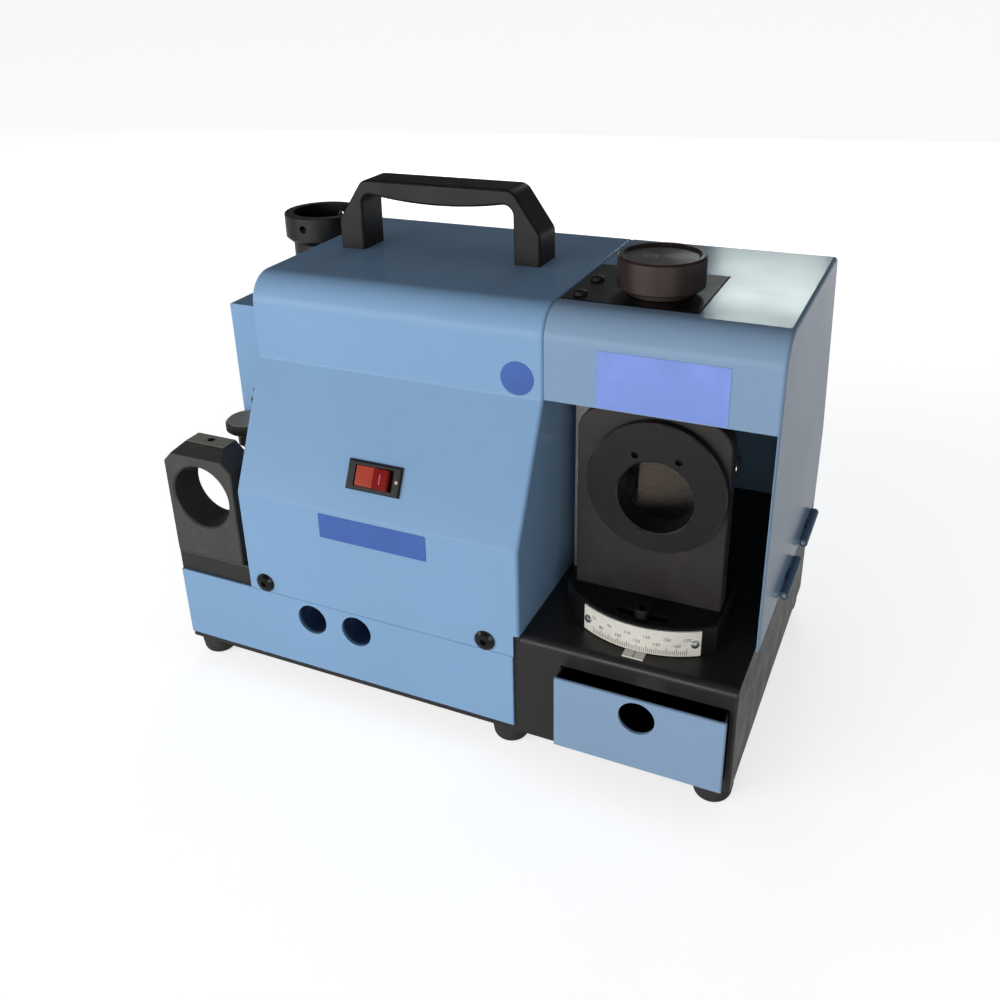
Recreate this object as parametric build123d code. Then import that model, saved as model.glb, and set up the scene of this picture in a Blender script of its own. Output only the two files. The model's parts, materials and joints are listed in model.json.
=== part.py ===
from build123d import *
import math
import os

# Bench frame: X runs right from the left end of the base, Y back from its front face.
# Z runs up from the underside of the base. All sizes are millimetres and degrees.
# A rise is measured up from the deck of the base and a drop down from it.

# Base box
base_length = 417.5
base_depth = 250.0
base_height = 78.0
base_wall = 4.0
base_deck = 6.0
base_floor = 4.0
bay_floor = 10.0
bay_lip_drop = 14.5
bay_lip_wall = 6.0
base_rim_width = 30.0
base_nose_round = 5.0
base_edge_round = 1.5
base_corner_round = 2.0

# Rubber feet
foot_height = 17.0
foot_radius = 13.0
foot_left_distance = 13.0
foot_middle_inset = 13.5
foot_right_distance = 13.5
foot_edge_distance = 14.5
foot_taper = 1.5
foot_shoulder = 1.0
foot_shoulder_round = 2.0
foot_round = 6.0
foot_recess_radius = 3.6
foot_screw_radius = 2.0
foot_screw_head = 3.0

# Folded sheet covers
sheet = 1.5
cover_standoff = 2.0
seam_gap = 0.5
fold_round = 5.0
corner_round = 2.5

# Front panel of the base
panel_left = 1.3
panel_right_inset = 4.5
panel_drop = 16.4
panel_lift = 5.0
panel_edge_round = 0.8
tool_hole_radius = 11.8
tool_hole_spacing = 36.5
tool_hole_off_middle = 2.0
tool_hole_drop = 30.8
tool_sleeve_wall = 1.2
tool_sleeve_depth = 24.0

# Main hood over the motor
hood_block_gap = 5.5
hood_skirt_drop = 15.9
hood_skirt_end_inset = 4.0
hood_lower_bend_rise = 62.6
hood_upper_bend_rise = 148.2
hood_top_rise = 205.8
hood_brow_round = 20.0
hood_rear_round = 6.0
hood_front_setback = 42.5
hood_rear_setback = 36.0
hood_screw_left_inset = 15.0
hood_screw_right_inset = 24.1
hood_screw_drop = 8.7
hood_screw_radius = 2.5
hood_screw_length = 16.0
hood_screw_head_radius = 7.2
hood_screw_head_height = 3.0

# Wheel hood, hinged along its lower right edge
wheel_hood_length = 142.0
wheel_hood_overhang = 2.5
wheel_hood_lift = 1.0
notch_length = 86.3
notch_front = 65.5
notch_depth = 79.5
hinge_knuckle_radius = 3.0
hinge_pin_radius = 1.5
hinge_neck = 4.0
hinge_length = 50.0
hinge_spacing = 73.5
hinge_rear_distance = 43.0

# Carrying handle
handle_length = 155.0
handle_rise = 50.0
handle_front = 122.5
handle_depth = 29.0
handle_foot = 19.0
handle_lean = 20.0
handle_knee = 21.0
handle_grip_depth = 14.5
handle_inner_round = 7.0
handle_round = 2.0
handle_bolt_radius = 3.0
handle_bolt_length = 15.0

# Rocker switch on the sloping front
switch_up_slope = 28.2
switch_length = 40.0
switch_width = 20.0
switch_flange = 2.4
switch_lip = 2.0
switch_body_depth = 24.0
rocker_length = 28.0
rocker_width = 13.5
rocker_gap = 0.4
rocker_pin_radius = 1.5
rocker_pin_depth = 2.0
rocker_throw = 16.0

# Chuck that fits all three ports
chuck_bore = 48.0

# Thinning port at the left end
block_width = 59.0
block_depth = 27.0
block_front_height = 80.8
block_rear_height = 86.5
block_bevel_depth = 12.5
block_chamfer = 13.0
block_bore_rise = 49.0
block_bolt_spacing = 36.0
block_bolt_radius = 4.0
block_bolt_grip = 18.0
grub_screw_radius = 3.0
grub_screw_inset = 7.0

# Thinning wheel guard, its stop knob and the setting gauge
guard_width = 53.5
guard_front = 80.5
guard_depth = 127.0
guard_top_rise = 168.0
guard_mouth_rise = 73.0
arm_width = 18.0
arm_thickness = 8.0
arm_reach = 32.0
arm_heel = 3.0
arm_step = 4.0
arm_screw_rise = 22.0
arm_screw_spacing = 9.0
arm_screw_radius = 2.5
arm_screw_length = 9.0
stop_knob_inset = 31.5
stop_knob_reach = 21.0
stop_knob_radius = 17.0
stop_knob_thickness = 10.0
stop_spindle_radius = 4.0
stop_spindle_seat = 6.0
gauge_inset = 32.0
gauge_rear_distance = 24.0
gauge_cup_wall = 7.0
gauge_cup_height = 21.0
gauge_post_radius = 25.5
gauge_post_height = 26.5
gauge_depth = 17.0
gauge_cross_hole_radius = 3.0
gauge_bolt_radius = 4.0

# Feed knob on the top plate and the casting that carries it
frame_gap = 2.0
frame_wall = 10.0
frame_front = 92.0
frame_rear_gap = 48.0
frame_foot_front = 118.0
frame_foot_width = 22.0
frame_foot_thickness = 9.0
frame_arm_rear = 144.0
frame_arm = 12.0
frame_gusset = 26.0
frame_bolt_radius = 3.0
frame_bolt_inset = 12.0
top_plate_thickness = 3.0
top_plate_gap = 0.6
plate_screw_radius = 2.5
plate_screw_length = 10.0
feed_notch_distance = 32.3
feed_y = 98.0
feed_knob_radius = 27.0
feed_knob_height = 20.0
feed_neck_height = 4.0
feed_spindle_radius = 8.0
feed_spindle_seat = 8.0

# Swivel with the angle scale
swivel_off_middle = 1.3
swivel_front = 15.0
swivel_radius = 70.0
swivel_height = 20.0
swivel_side_gap = 19.75
swivel_shift = 5.8
swivel_tail = 20.0
swivel_range = 12.5
pivot_radius = 8.0
lock_radius = 60.5
lock_shank_radius = 3.0
scale_sheet = 1.2
scale_seat_gap = 0.3
scale_half_angle = 32.0
scale_height = 18.0
scale_screw_angle = 28.8
scale_screw_radius = 1.5
scale_screw_length = 6.0
pointer_width = 13.3
pointer_length = 7.0
pointer_sheet = 1.0

# Upright plate and eccentric guide ring on the swivel
plate_side_inset = 3.55
plate_shift = 4.3
plate_thickness = 12.0
plate_offset = 38.5
plate_top_gap = 1.0
plate_corner_round = 17.0
plate_bolt_inset = 13.0
plate_bolt_radius = 3.0
plate_bolt_sink = 7.0
plate_bolt_grip = 14.0
ring_side_inset = 3.9
ring_thickness = 6.5
ring_rise = 101.2
ring_spigot_radius = 34.0
ring_eccentricity = 6.0
ring_hole_spacing = 27.0
ring_hole_rise = 21.0
ring_hole_radius = 2.3

# Drawer, drawn as far out as it stands at rest
drawer_inset = 28.1
drawer_front_right_inset = 3.0
drawer_front_drop = 14.0
drawer_front_lift = 0.8
drawer_wall_drop = 16.2
drawer_depth = 200.0
drawer_front_sheet = 2.0
drawer_sheet = 1.2
drawer_rest_opening = 12.0
finger_hole_radius = 11.6
finger_hole_drop = 27.6

# Motor and the two wheels on its shaft
motor_rise = 81.5
motor_length = 130.0
motor_radius = 58.0
motor_wall = 6.0
motor_bell = 12.0
motor_foot_half_width = 54.0
motor_foot_thickness = 10.0
motor_foot_inset = 6.0
motor_bolt_radius = 4.0
motor_bolt_end_inset = 18.0
motor_bolt_side_inset = 10.0
rotor_radius = 30.0
rotor_air_gap = 0.6
core_inset = 16.0
rotor_end_inset = 2.0
shaft_body_radius = 12.0
shaft_journal_radius = 10.0
shaft_end_radius = 8.0
shaft_shoulder_inset = 6.0
bearing_radius = 23.5
bell_spigot = 4.0
bell_end_wall = 2.0
shaft_wall_clearance = 6.0
thinning_wheel_inset = 10.0
thinning_wheel_width = 12.0
thinning_wheel_radius = 42.0
thinning_rim_bevel = 4.0
thinning_flange_width = 6.0
thinning_flange_radius = 18.0
thinning_nut_width = 5.0
wheel_lead = 20.5
wheel_width = 40.0
wheel_tip_radius = 42.0
wheel_face_angle = 31.0
wheel_recess = 6.0
wheel_flange_radius = 27.0
wheel_flange_width = 18.0
wheel_nut_width = 10.0
wheel_nut_radius = 15.0

# Mains inlet on the back of the base
inlet_off_middle = 28.0
inlet_z = 32.0
inlet_width = 48.0
inlet_height = 28.0
inlet_flange = 3.0
inlet_side_lip = 5.5
inlet_edge_lip = 3.5
inlet_body_depth = 26.0
inlet_recess_depth = 16.0
inlet_wall = 4.5
inlet_pin_spacing = 7.0
inlet_pin_width = 2.0

# Fits and clearances
running_fit = 0.05
screw_fit = 0.1
slide_gap = 0.7
lift_gap = 0.3
cap_head_ratio = 1.7
edge_break = 0.8
port_lead = 1.2

# Lengths along X worked out from the sizes above
hood_left = block_width + hood_block_gap
wheel_hood_right = base_length + wheel_hood_overhang
wheel_hood_left = wheel_hood_right - wheel_hood_length
hood_right = wheel_hood_left - seam_gap
hood_length = hood_right - hood_left
hood_middle = (hood_left + hood_right) / 2
hood_screw_places = (hood_left + hood_screw_left_inset, hood_right - hood_screw_right_inset)
panel_length = hood_right - panel_right_inset - panel_left
tool_hole_middle = panel_left + panel_length / 2 - tool_hole_off_middle
tool_hole_places = (tool_hole_middle - tool_hole_spacing / 2, tool_hole_middle + tool_hole_spacing / 2)
foot_columns = (foot_left_distance, hood_right - foot_middle_inset, base_length - foot_right_distance)
handle_left = hood_left + 0.388 * (hood_length - handle_length)
switch_x = hood_middle
inlet_x = hood_middle - inlet_off_middle
block_middle = block_width / 2
guard_left = hood_left - guard_width
stop_knob_x = hood_left - stop_knob_inset
gauge_x = hood_left - gauge_inset
hinge_x = wheel_hood_right + hinge_knuckle_radius
notch_right = wheel_hood_left + notch_length
frame_left = wheel_hood_left + frame_gap
feed_x = notch_right - feed_notch_distance
swivel_x = (wheel_hood_left + wheel_hood_right) / 2 + swivel_off_middle
swivel_half_width = wheel_hood_length / 2 - swivel_side_gap
plate_half_width = swivel_half_width - plate_side_inset
ring_radius = plate_half_width - ring_side_inset
drawer_left = wheel_hood_left + drawer_inset
bay_left = drawer_left - slide_gap
bay_right = base_length - base_wall
drawer_right = bay_right - slide_gap
drawer_front_right = base_length - drawer_front_right_inset
motor_left = hood_left + motor_bell + 0.36 * (hood_length - motor_length - 2 * motor_bell)
motor_right = motor_left + motor_length
thinning_wheel_left = guard_left + thinning_wheel_inset
wheel_left = swivel_x - wheel_lead
wheel_right = wheel_left + wheel_width
overall_right = hinge_x + hinge_knuckle_radius
overall_middle_x = overall_right / 2

# Depths along Y
hood_front = -cover_standoff
hood_rear = base_depth + cover_standoff
apron_y = hood_front + hood_front_setback
hinge_rear_place = base_depth - hinge_rear_distance
hinge_places = (hinge_rear_place - hinge_spacing, hinge_rear_place)
guard_rear = guard_front + guard_depth
stop_knob_y = guard_front - stop_knob_reach
gauge_y = guard_rear - gauge_rear_distance
frame_rear = hood_rear - frame_rear_gap
swivel_y = swivel_front + swivel_radius
plate_front = swivel_y - plate_offset
ring_front = plate_front - ring_thickness
scale_face_radius = swivel_radius + scale_seat_gap + scale_sheet
motor_y = swivel_y + wheel_tip_radius
drawer_closed_y = -lift_gap
drawer_back_y = drawer_closed_y - drawer_rest_opening
drawer_front_y = drawer_back_y - drawer_front_sheet
overall_rear = hood_rear + hood_screw_head_height
overall_middle_y = (drawer_front_y + overall_rear) / 2

# Heights along Z
deck_underside = base_height - base_deck
panel_height = base_height - panel_drop
tool_hole_height = base_height - tool_hole_drop
hood_skirt_z = base_height - hood_skirt_drop
hood_lower_bend_z = base_height + hood_lower_bend_rise
hood_upper_bend_z = base_height + hood_upper_bend_rise
hood_top_z = base_height + hood_top_rise
hood_screw_z = base_height - hood_screw_drop
hood_mid_slope = math.atan2(hood_upper_bend_z - hood_lower_bend_z, hood_front_setback)
wheel_hood_skirt_z = base_height + wheel_hood_lift
hinge_z = wheel_hood_skirt_z
top_plate_top = hood_top_z + lift_gap
top_plate_base = top_plate_top - top_plate_thickness
block_bore_z = base_height + block_bore_rise
guard_top_z = base_height + guard_top_rise
guard_mouth_z = base_height + guard_mouth_rise
swivel_base_z = base_height + lift_gap
swivel_top_z = swivel_base_z + swivel_height
plate_top = hood_upper_bend_z - plate_top_gap
ring_z = base_height + ring_rise
drawer_front_height = base_height - drawer_front_drop
drawer_floor_z = bay_floor + lift_gap
drawer_wall_height = base_height - drawer_wall_drop - drawer_floor_z
finger_hole_z = base_height - finger_hole_drop
motor_z = base_height + motor_rise

# Other measures
chuck_radius = chuck_bore / 2
wheel_slope = math.tan(math.radians(wheel_face_angle))
tool_sleeve_radius = tool_hole_radius + tool_sleeve_wall


def slab(x_limits, y_limits, z_limits):
    """A block between two limits on each axis."""
    spans = (x_limits, y_limits, z_limits)
    middle = [(low + high) / 2 for low, high in spans]
    size = [high - low for low, high in spans]
    return Pos(*middle) * Box(*size)


def along_x(face, x_from, x_to):
    """A YZ outline pushed along X."""
    return extrude(Plane.YZ.offset(x_from) * face, amount=x_to - x_from)


def along_y(face, y_from, y_to):
    """An XZ outline pushed along Y."""
    return extrude(Plane.XZ.offset(-y_to) * face, amount=y_to - y_from)


def along_z(face, z_from, z_to):
    """An XY outline pushed along Z."""
    return extrude(Plane.XY.offset(z_from) * face, amount=z_to - z_from)


def bar_x(radius, x_from, x_to, y, z):
    return along_x(Pos(y, z) * Circle(radius), x_from, x_to)


def bar_y(radius, x, y_from, y_to, z):
    return along_y(Pos(x, z) * Circle(radius), y_from, y_to)


def bar_z(radius, x, y, z_from, z_to):
    return along_z(Pos(x, y) * Circle(radius), z_from, z_to)


def clear(radius):
    """Radius of the hole that a screw of this radius passes."""
    return radius + screw_fit


def turned(points):
    """A turned piece on the Z axis from its radius and height points."""
    outline = Polyline(*points, close=True)
    return revolve(Plane.XZ * make_face(outline), axis=Axis.Z)


def turned_x(points):
    """A piece turned on the motor's axis from its x and radius points."""
    outline = Polyline(*points, close=True)
    return Pos(0, motor_y, motor_z) * revolve(make_face(outline), axis=Axis.X)


def cap_screw(radius, length):
    """A socket head screw standing on the Z axis, its head seated at zero."""
    head_radius = cap_head_ratio * radius
    head_height = 2 * radius
    screw = bar_z(radius, 0, 0, -length, 0) + bar_z(head_radius, 0, 0, 0, head_height)
    rim = screw.edges().group_by(Axis.Z)[-1]
    screw = fillet(rim, 0.15 * head_radius)
    socket = RegularPolygon(0.9 * radius, 6)
    return screw - along_z(socket, 0.6 * head_height, 1.1 * head_height)


def pan_screw(radius, length):
    """A small domed screw standing on the Z axis, its head seated at zero."""
    head = turned([(0, 0), (1.9 * radius, 0), (1.6 * radius, 0.8 * radius), (0, 1.1 * radius)])
    slot = slab((-2 * radius, 2 * radius), (-0.25 * radius, 0.25 * radius), (0.7 * radius, 2 * radius))
    return head + bar_z(radius, 0, 0, -length, 0) - slot


def button_screw(radius, length, head_radius, head_height):
    """A screw with a wide low round head standing on the Z axis, its head seated at zero."""
    head = turned([
        (0, 0),
        (head_radius, 0),
        (head_radius, 0.35 * head_height),
        (0.72 * head_radius, 0.85 * head_height),
        (0.4 * head_radius, head_height),
        (0, head_height),
    ])
    socket = RegularPolygon(0.9 * radius, 6)
    return head + bar_z(radius, 0, 0, -length, 0) - along_z(socket, 0.3 * head_height, 1.1 * head_height)


def facing_front(x, y, z):
    """A place whose local Z points out to the front."""
    return Pos(x, y, z) * Rot(90, 0, 0)


def facing_back(x, y, z):
    return Pos(x, y, z) * Rot(-90, 0, 0)


# Base and what stands under it


def foot_places():
    rows = (foot_edge_distance, base_depth - foot_edge_distance)
    return [(x, y) for y in rows for x in foot_columns]


def front_edge_waste(x_from, x_to, radius):
    """What is taken off the deck's front edge to round it."""
    z = base_height - radius
    corner = slab((x_from, x_to), (-1, radius), (z, base_height + 1))
    return corner - bar_x(radius, x_from, x_to, radius, z)


def base_box():
    body = slab((0, base_length), (0, base_depth), (0, base_height))
    body = fillet(body.edges().filter_by(Axis.Z), base_corner_round)
    inner_y = (base_wall, base_depth - base_wall)
    left_room = slab((base_wall, bay_left - base_wall), inner_y, (base_floor, deck_underside))
    window_x = (base_rim_width, bay_left - base_wall - base_rim_width)
    window_y = (base_rim_width, base_depth - base_rim_width)
    body -= left_room
    body -= slab(window_x, window_y, (-1, base_floor + 1))
    bay_x = (bay_left, bay_right)
    body -= slab(bay_x, (bay_lip_wall, base_depth - base_wall), (bay_floor, deck_underside))
    body -= slab(bay_x, (-1, bay_lip_wall + 1), (bay_floor, base_height - bay_lip_drop))
    body -= front_edge_waste(hood_right, base_length + 1, base_nose_round)
    body -= front_edge_waste(-1, hood_right, base_edge_round)
    for x in hood_screw_places:
        body -= bar_y(clear(hood_screw_radius), x, hood_front, hood_screw_length, hood_screw_z)
        body -= bar_y(clear(hood_screw_radius), x, base_depth - hood_screw_length, hood_rear, hood_screw_z)
    for x in tool_hole_places:
        body -= bar_y(tool_sleeve_radius + lift_gap, x, -1, base_wall + 1, tool_hole_height)
    for x, y in foot_places():
        body -= bar_z(clear(foot_screw_radius), x, y, -1, base_floor + 1)
    for x, y in motor_bolt_places():
        body -= bar_z(clear(motor_bolt_radius), x, y, deck_underside - 1, base_height + 1)
    for x in block_bolt_places():
        body -= bar_z(clear(block_bolt_radius), x, block_depth / 2, deck_underside - 1, base_height + 1)
    for y in frame_bolt_places():
        body -= bar_z(clear(frame_bolt_radius), frame_bolt_x(), y, deck_underside - 1, base_height + 1)
    body -= bar_z(pivot_radius, swivel_x, swivel_y, deck_underside - 1, base_height + 1)
    lock_y = swivel_y - lock_radius
    body -= bar_z(clear(lock_shank_radius), swivel_x, lock_y, deck_underside - 1, base_height + 1)
    half_width = inlet_width / 2 - inlet_side_lip + screw_fit
    half_height = inlet_height / 2 - inlet_edge_lip + screw_fit
    inlet_x_span = (inlet_x - half_width, inlet_x + half_width)
    inlet_z_span = (inlet_z - half_height, inlet_z + half_height)
    body -= slab(inlet_x_span, (base_depth - base_wall - 1, base_depth + 1), inlet_z_span)
    return body


def rubber_feet():
    profile = FilletPolyline(
        (foot_recess_radius, -foot_height),
        (foot_radius - foot_taper, -foot_height),
        (foot_radius, -0.35 * foot_height),
        (foot_radius - foot_shoulder, 0),
        (foot_screw_radius + screw_fit, 0),
        (foot_screw_radius + screw_fit, -0.5 * foot_height),
        (foot_recess_radius, -0.5 * foot_height),
        radius=[foot_round, foot_shoulder_round, 0, 0, 0],
    )
    edge = Line(profile @ 1, profile @ 0)
    foot = revolve(Plane.XZ * make_face(Curve() + profile + edge), axis=Axis.Z)
    return [Pos(x, y, 0) * foot for x, y in foot_places()]


def foot_screws():
    screw = bar_z(foot_screw_radius, 0, 0, -0.5 * foot_height, base_floor - screw_fit)
    head_radius = foot_recess_radius - 2 * screw_fit
    screw += bar_z(head_radius, 0, 0, -0.5 * foot_height - foot_screw_head, -0.5 * foot_height)
    return [Pos(x, y, 0) * screw for x, y in foot_places()]


def front_panel():
    """Flat cover on the front of the base with a sleeve behind each tool hole."""
    limits_x = (panel_left, panel_left + panel_length)
    panel = slab(limits_x, (-cover_standoff, 0), (panel_lift, panel_height))
    panel = fillet(panel.edges().group_by(Axis.Y)[0], panel_edge_round)
    for x in tool_hole_places:
        panel += bar_y(tool_sleeve_radius, x, -0.5 * cover_standoff, tool_sleeve_depth, tool_hole_height)
        panel -= bar_y(tool_hole_radius, x, -cover_standoff - 1, tool_sleeve_depth + 1, tool_hole_height)
    return panel


# Main hood and what is fixed to it


def hood_profile(front_bend_points, skirt_z):
    """Closed YZ outline shared by both hoods, from the front skirt over the top to the rear skirt."""
    rear_points = [
        (hood_rear - hood_rear_setback, hood_top_z),
        (hood_rear, hood_lower_bend_z),
        (hood_rear, skirt_z),
    ]
    points = front_bend_points + rear_points
    bends = [fold_round] * (len(front_bend_points) - 2)
    rounds = bends + [hood_brow_round, hood_rear_round, fold_round]
    path = FilletPolyline(*points, radius=rounds)
    return make_face(Curve() + path + Line(path @ 1, path @ 0))


def main_hood_profile():
    front_points = [
        (hood_front, hood_skirt_z),
        (hood_front, hood_lower_bend_z),
        (apron_y, hood_upper_bend_z),
        (apron_y, hood_top_z),
    ]
    return hood_profile(front_points, hood_skirt_z)


def end_edges(solid, x, skirt_z):
    """Edges of an end wall's outline, without the one along the skirt."""
    wall = [face for face in solid.faces() if abs(face.center().X - x) < 0.01]
    return [edge for edge in wall[0].edges() if edge.center().Z > skirt_z + 0.01]


def switch_plane():
    """Centre of the switch on the sloping front: local Y runs up the slope, local Z out of it."""
    run = math.cos(hood_mid_slope)
    rise = math.sin(hood_mid_slope)
    y = hood_front + switch_up_slope * run
    z = hood_lower_bend_z + switch_up_slope * rise
    return Plane(origin=(switch_x, y, z), x_dir=(1, 0, 0), z_dir=(0, -rise, run))


def handle_bolt_places():
    inset = handle_foot / 2
    return (handle_left + inset, handle_left + handle_length - inset)


def main_hood():
    profile = main_hood_profile()
    hood = along_x(profile, hood_left, hood_right)
    hood = fillet(end_edges(hood, hood_left, hood_skirt_z), corner_round)
    hood = fillet(end_edges(hood, hood_right, hood_skirt_z), corner_round)
    hood -= along_x(offset(profile, -sheet), hood_left + sheet, hood_right - sheet)
    over_base = (hood_front + sheet, hood_rear - sheet)
    hood -= slab((hood_left - 1, hood_right + 1), over_base, (hood_skirt_z - 1, base_height))
    skirt_end = (hood_right - hood_skirt_end_inset, hood_right + 1)
    hood -= slab(skirt_end, (hood_front - 1, hood_rear + 1), (hood_skirt_z - 1, base_height))
    hole = shaft_journal_radius + shaft_wall_clearance
    hood -= bar_x(hole, hood_left - 1, hood_right + 1, motor_y, motor_z)
    for x in hood_screw_places:
        hood -= bar_y(clear(hood_screw_radius), x, hood_front - 1, hood_rear + 1, hood_screw_z)
    middle_y = handle_front + handle_depth / 2
    for x in handle_bolt_places():
        hood -= bar_z(clear(handle_bolt_radius), x, middle_y, hood_top_z - 5, hood_top_z + 1)
    window = Box(switch_length - 2 * switch_lip, switch_width - 2 * switch_lip, 6 * sheet)
    hood -= switch_plane().location * window
    return hood


def hood_screws():
    fastener = button_screw(hood_screw_radius, hood_screw_length, hood_screw_head_radius, hood_screw_head_height)
    front = [facing_front(x, hood_front, hood_screw_z) * fastener for x in hood_screw_places]
    rear = [facing_back(x, hood_rear, hood_screw_z) * fastener for x in hood_screw_places]
    return front + rear


def carry_handle():
    span = handle_length
    outer = FilletPolyline(
        (0, 0),
        (0, handle_knee),
        (handle_lean, handle_rise),
        (span - handle_lean, handle_rise),
        (span, handle_knee),
        (span, 0),
        radius=[8.0, 9.0, 9.0, 8.0],
    )
    body = make_face(Curve() + outer + Line(outer @ 1, outer @ 0))
    grip_z = handle_rise - handle_grip_depth
    near_leg = handle_foot + 0.5
    inner_top = grip_z + 5.5
    sides = [(handle_foot, -1), (near_leg, inner_top), (span - near_leg, inner_top), (span - handle_foot, -1)]
    left_side = Line(sides[0], sides[1])
    grip = ThreePointArc(sides[1], (span / 2, grip_z), sides[2])
    right_side = Line(sides[2], sides[3])
    closing = Line(sides[3], sides[0])
    hand_gap = make_face(Curve() + left_side + grip + right_side + closing)
    body -= fillet(hand_gap.vertices().group_by(Axis.Y)[-1], handle_inner_round)
    handle = along_y(body, handle_front, handle_front + handle_depth)
    rims = [edge for edge in handle.edges() if edge.center().Z > 0.1]
    rims = [edge for edge in rims if abs(edge.tangent_at(0.5).Y) < 0.5]
    handle = fillet(rims, handle_round)
    handle = Pos(handle_left, 0, hood_top_z) * handle
    middle_y = handle_front + handle_depth / 2
    for x in handle_bolt_places():
        bottom = hood_top_z + handle_bolt_length
        handle -= bar_z(clear(handle_bolt_radius), x, middle_y, hood_top_z - 1, bottom)
    return handle


def handle_bolts():
    middle_y = handle_front + handle_depth / 2
    bolt = Rot(180, 0, 0) * cap_screw(handle_bolt_radius, handle_bolt_length)
    return [Pos(x, middle_y, hood_top_z - sheet) * bolt for x in handle_bolt_places()]


def rocker_pocket_half():
    return rocker_length / 2 + rocker_gap


def switch_housing():
    flange = Pos(0, 0, switch_flange / 2) * Box(switch_length, switch_width, switch_flange)
    flange = fillet(flange.edges().group_by(Axis.Z)[-1], 1.2)
    depth = switch_body_depth
    through = 2 * switch_lip + rocker_gap
    body = Pos(0, 0, -depth / 2) * Box(switch_length - through, switch_width - through, depth)
    pocket_depth = depth - switch_lip
    pocket = Box(2 * rocker_pocket_half(), rocker_width + 2 * rocker_gap, pocket_depth)
    pin_hole = Pos(0, 0, -rocker_pin_depth) * Rot(90, 0, 0)
    pin_hole *= Cylinder(rocker_pin_radius + running_fit, rocker_width + 4 * rocker_gap + 1.0)
    return switch_plane().location * (flange + body - pocket - pin_hole)


def switch_rocker():
    half = rocker_length / 2
    crown = Polyline((-half, 4.4), (0, 2.2), (half, 4.4), (0.6 * half, -9.0), (-0.6 * half, -9.0), close=True)
    sweep_limit = Pos(0, -rocker_pin_depth) * Circle(half)
    outline = make_face(crown) & sweep_limit
    rocker = along_y(outline, -rocker_width / 2, rocker_width / 2)
    pin = Pos(0, 0, -rocker_pin_depth) * Rot(90, 0, 0)
    pin *= Cylinder(rocker_pin_radius, rocker_width + 5 * rocker_gap)
    tilt = Pos(0, 0, -rocker_pin_depth) * Rot(0, -rocker_throw / 2, 0) * Pos(0, 0, rocker_pin_depth)
    return switch_plane().location * (tilt * (rocker + pin))


# Thinning port, guard, stop knob and setting gauge


def block_bolt_places():
    return (block_middle - block_bolt_spacing / 2, block_middle + block_bolt_spacing / 2)


def grub_screw_y():
    return block_depth - grub_screw_inset


def thinning_block():
    rear_top = base_height + block_rear_height
    front_top = base_height + block_front_height
    outline = Rectangle(block_width, block_rear_height, align=(Align.MIN, Align.MIN))
    outline = chamfer(outline.vertices().group_by(Axis.Y)[-1], block_chamfer)
    block = along_y(Pos(0, base_height) * outline, 0, block_depth)
    sides = [edge for edge in block.edges() if edge.center().Z > base_height + 1]
    sides = [edge for edge in sides if abs(edge.tangent_at(0.5).Y) < 0.5]
    block = chamfer(sides, edge_break)
    brow = [(-1, front_top), (0, front_top), (block_bevel_depth, rear_top), (-1, rear_top + 1)]
    block -= along_x(make_face(Polyline(*brow, close=True)), -1, block_width + 1)
    block -= bar_y(chuck_radius, block_middle, -1, block_depth + 1, block_bore_z)
    mouth = [edge for edge in block.faces().sort_by(Axis.Y)[0].inner_wires()[0].edges()]
    block = chamfer(mouth, port_lead)
    block -= bar_z(clear(grub_screw_radius), block_middle, grub_screw_y(), block_bore_z, rear_top + 1)
    for x in block_bolt_places():
        bottom = base_height + block_bolt_grip
        block -= bar_z(clear(block_bolt_radius), x, block_depth / 2, base_height - 1, bottom)
    return block


def block_grub_screw():
    rear_top = base_height + block_rear_height
    point = block_bore_z + chuck_radius + 1.0
    screw = bar_z(grub_screw_radius, block_middle, grub_screw_y(), point, rear_top - 1.5)
    socket = Pos(block_middle, grub_screw_y()) * RegularPolygon(0.57 * grub_screw_radius, 6)
    return screw - along_z(socket, rear_top - 4.5, rear_top)


def block_bolts():
    bolt = Rot(180, 0, 0) * cap_screw(block_bolt_radius, base_deck + block_bolt_grip)
    return [Pos(x, block_depth / 2, deck_underside) * bolt for x in block_bolt_places()]


def side_guard():
    limits_x = (guard_left, hood_left)
    limits_y = (guard_front, guard_rear)
    guard = slab(limits_x, limits_y, (base_height, guard_top_z))
    outer = guard.edges().filter_by(Axis.Z).group_by(Axis.X)[0]
    outer += guard.edges().filter_by(Axis.Y).group_by(Axis.X)[0].group_by(Axis.Z)[-1]
    guard = fillet(outer, corner_round)
    inner_y = (guard_front + sheet, guard_rear - sheet)
    guard -= slab((guard_left + sheet, hood_left + 1), inner_y, (base_height - 1, guard_top_z - sheet))
    guard -= slab((guard_left + corner_round, hood_left + 1), (guard_front - 1, guard_front + sheet + 1),
                  (base_height - 1, guard_mouth_z))
    guard -= bar_z(clear(gauge_bolt_radius), gauge_x, gauge_y, guard_top_z - 5, guard_top_z + 1)
    for x in arm_screw_places():
        guard -= bar_y(clear(arm_screw_radius), x, guard_front - 1, guard_front + sheet + 1, arm_screw_z())
    return guard


def arm_middle_x():
    return stop_knob_x + 2.0


def arm_screw_places():
    return (arm_middle_x() - arm_screw_spacing / 2, arm_middle_x() + arm_screw_spacing / 2)


def arm_screw_z():
    return guard_mouth_z + arm_screw_rise


def arm_top_z():
    return guard_mouth_z + arm_step


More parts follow.
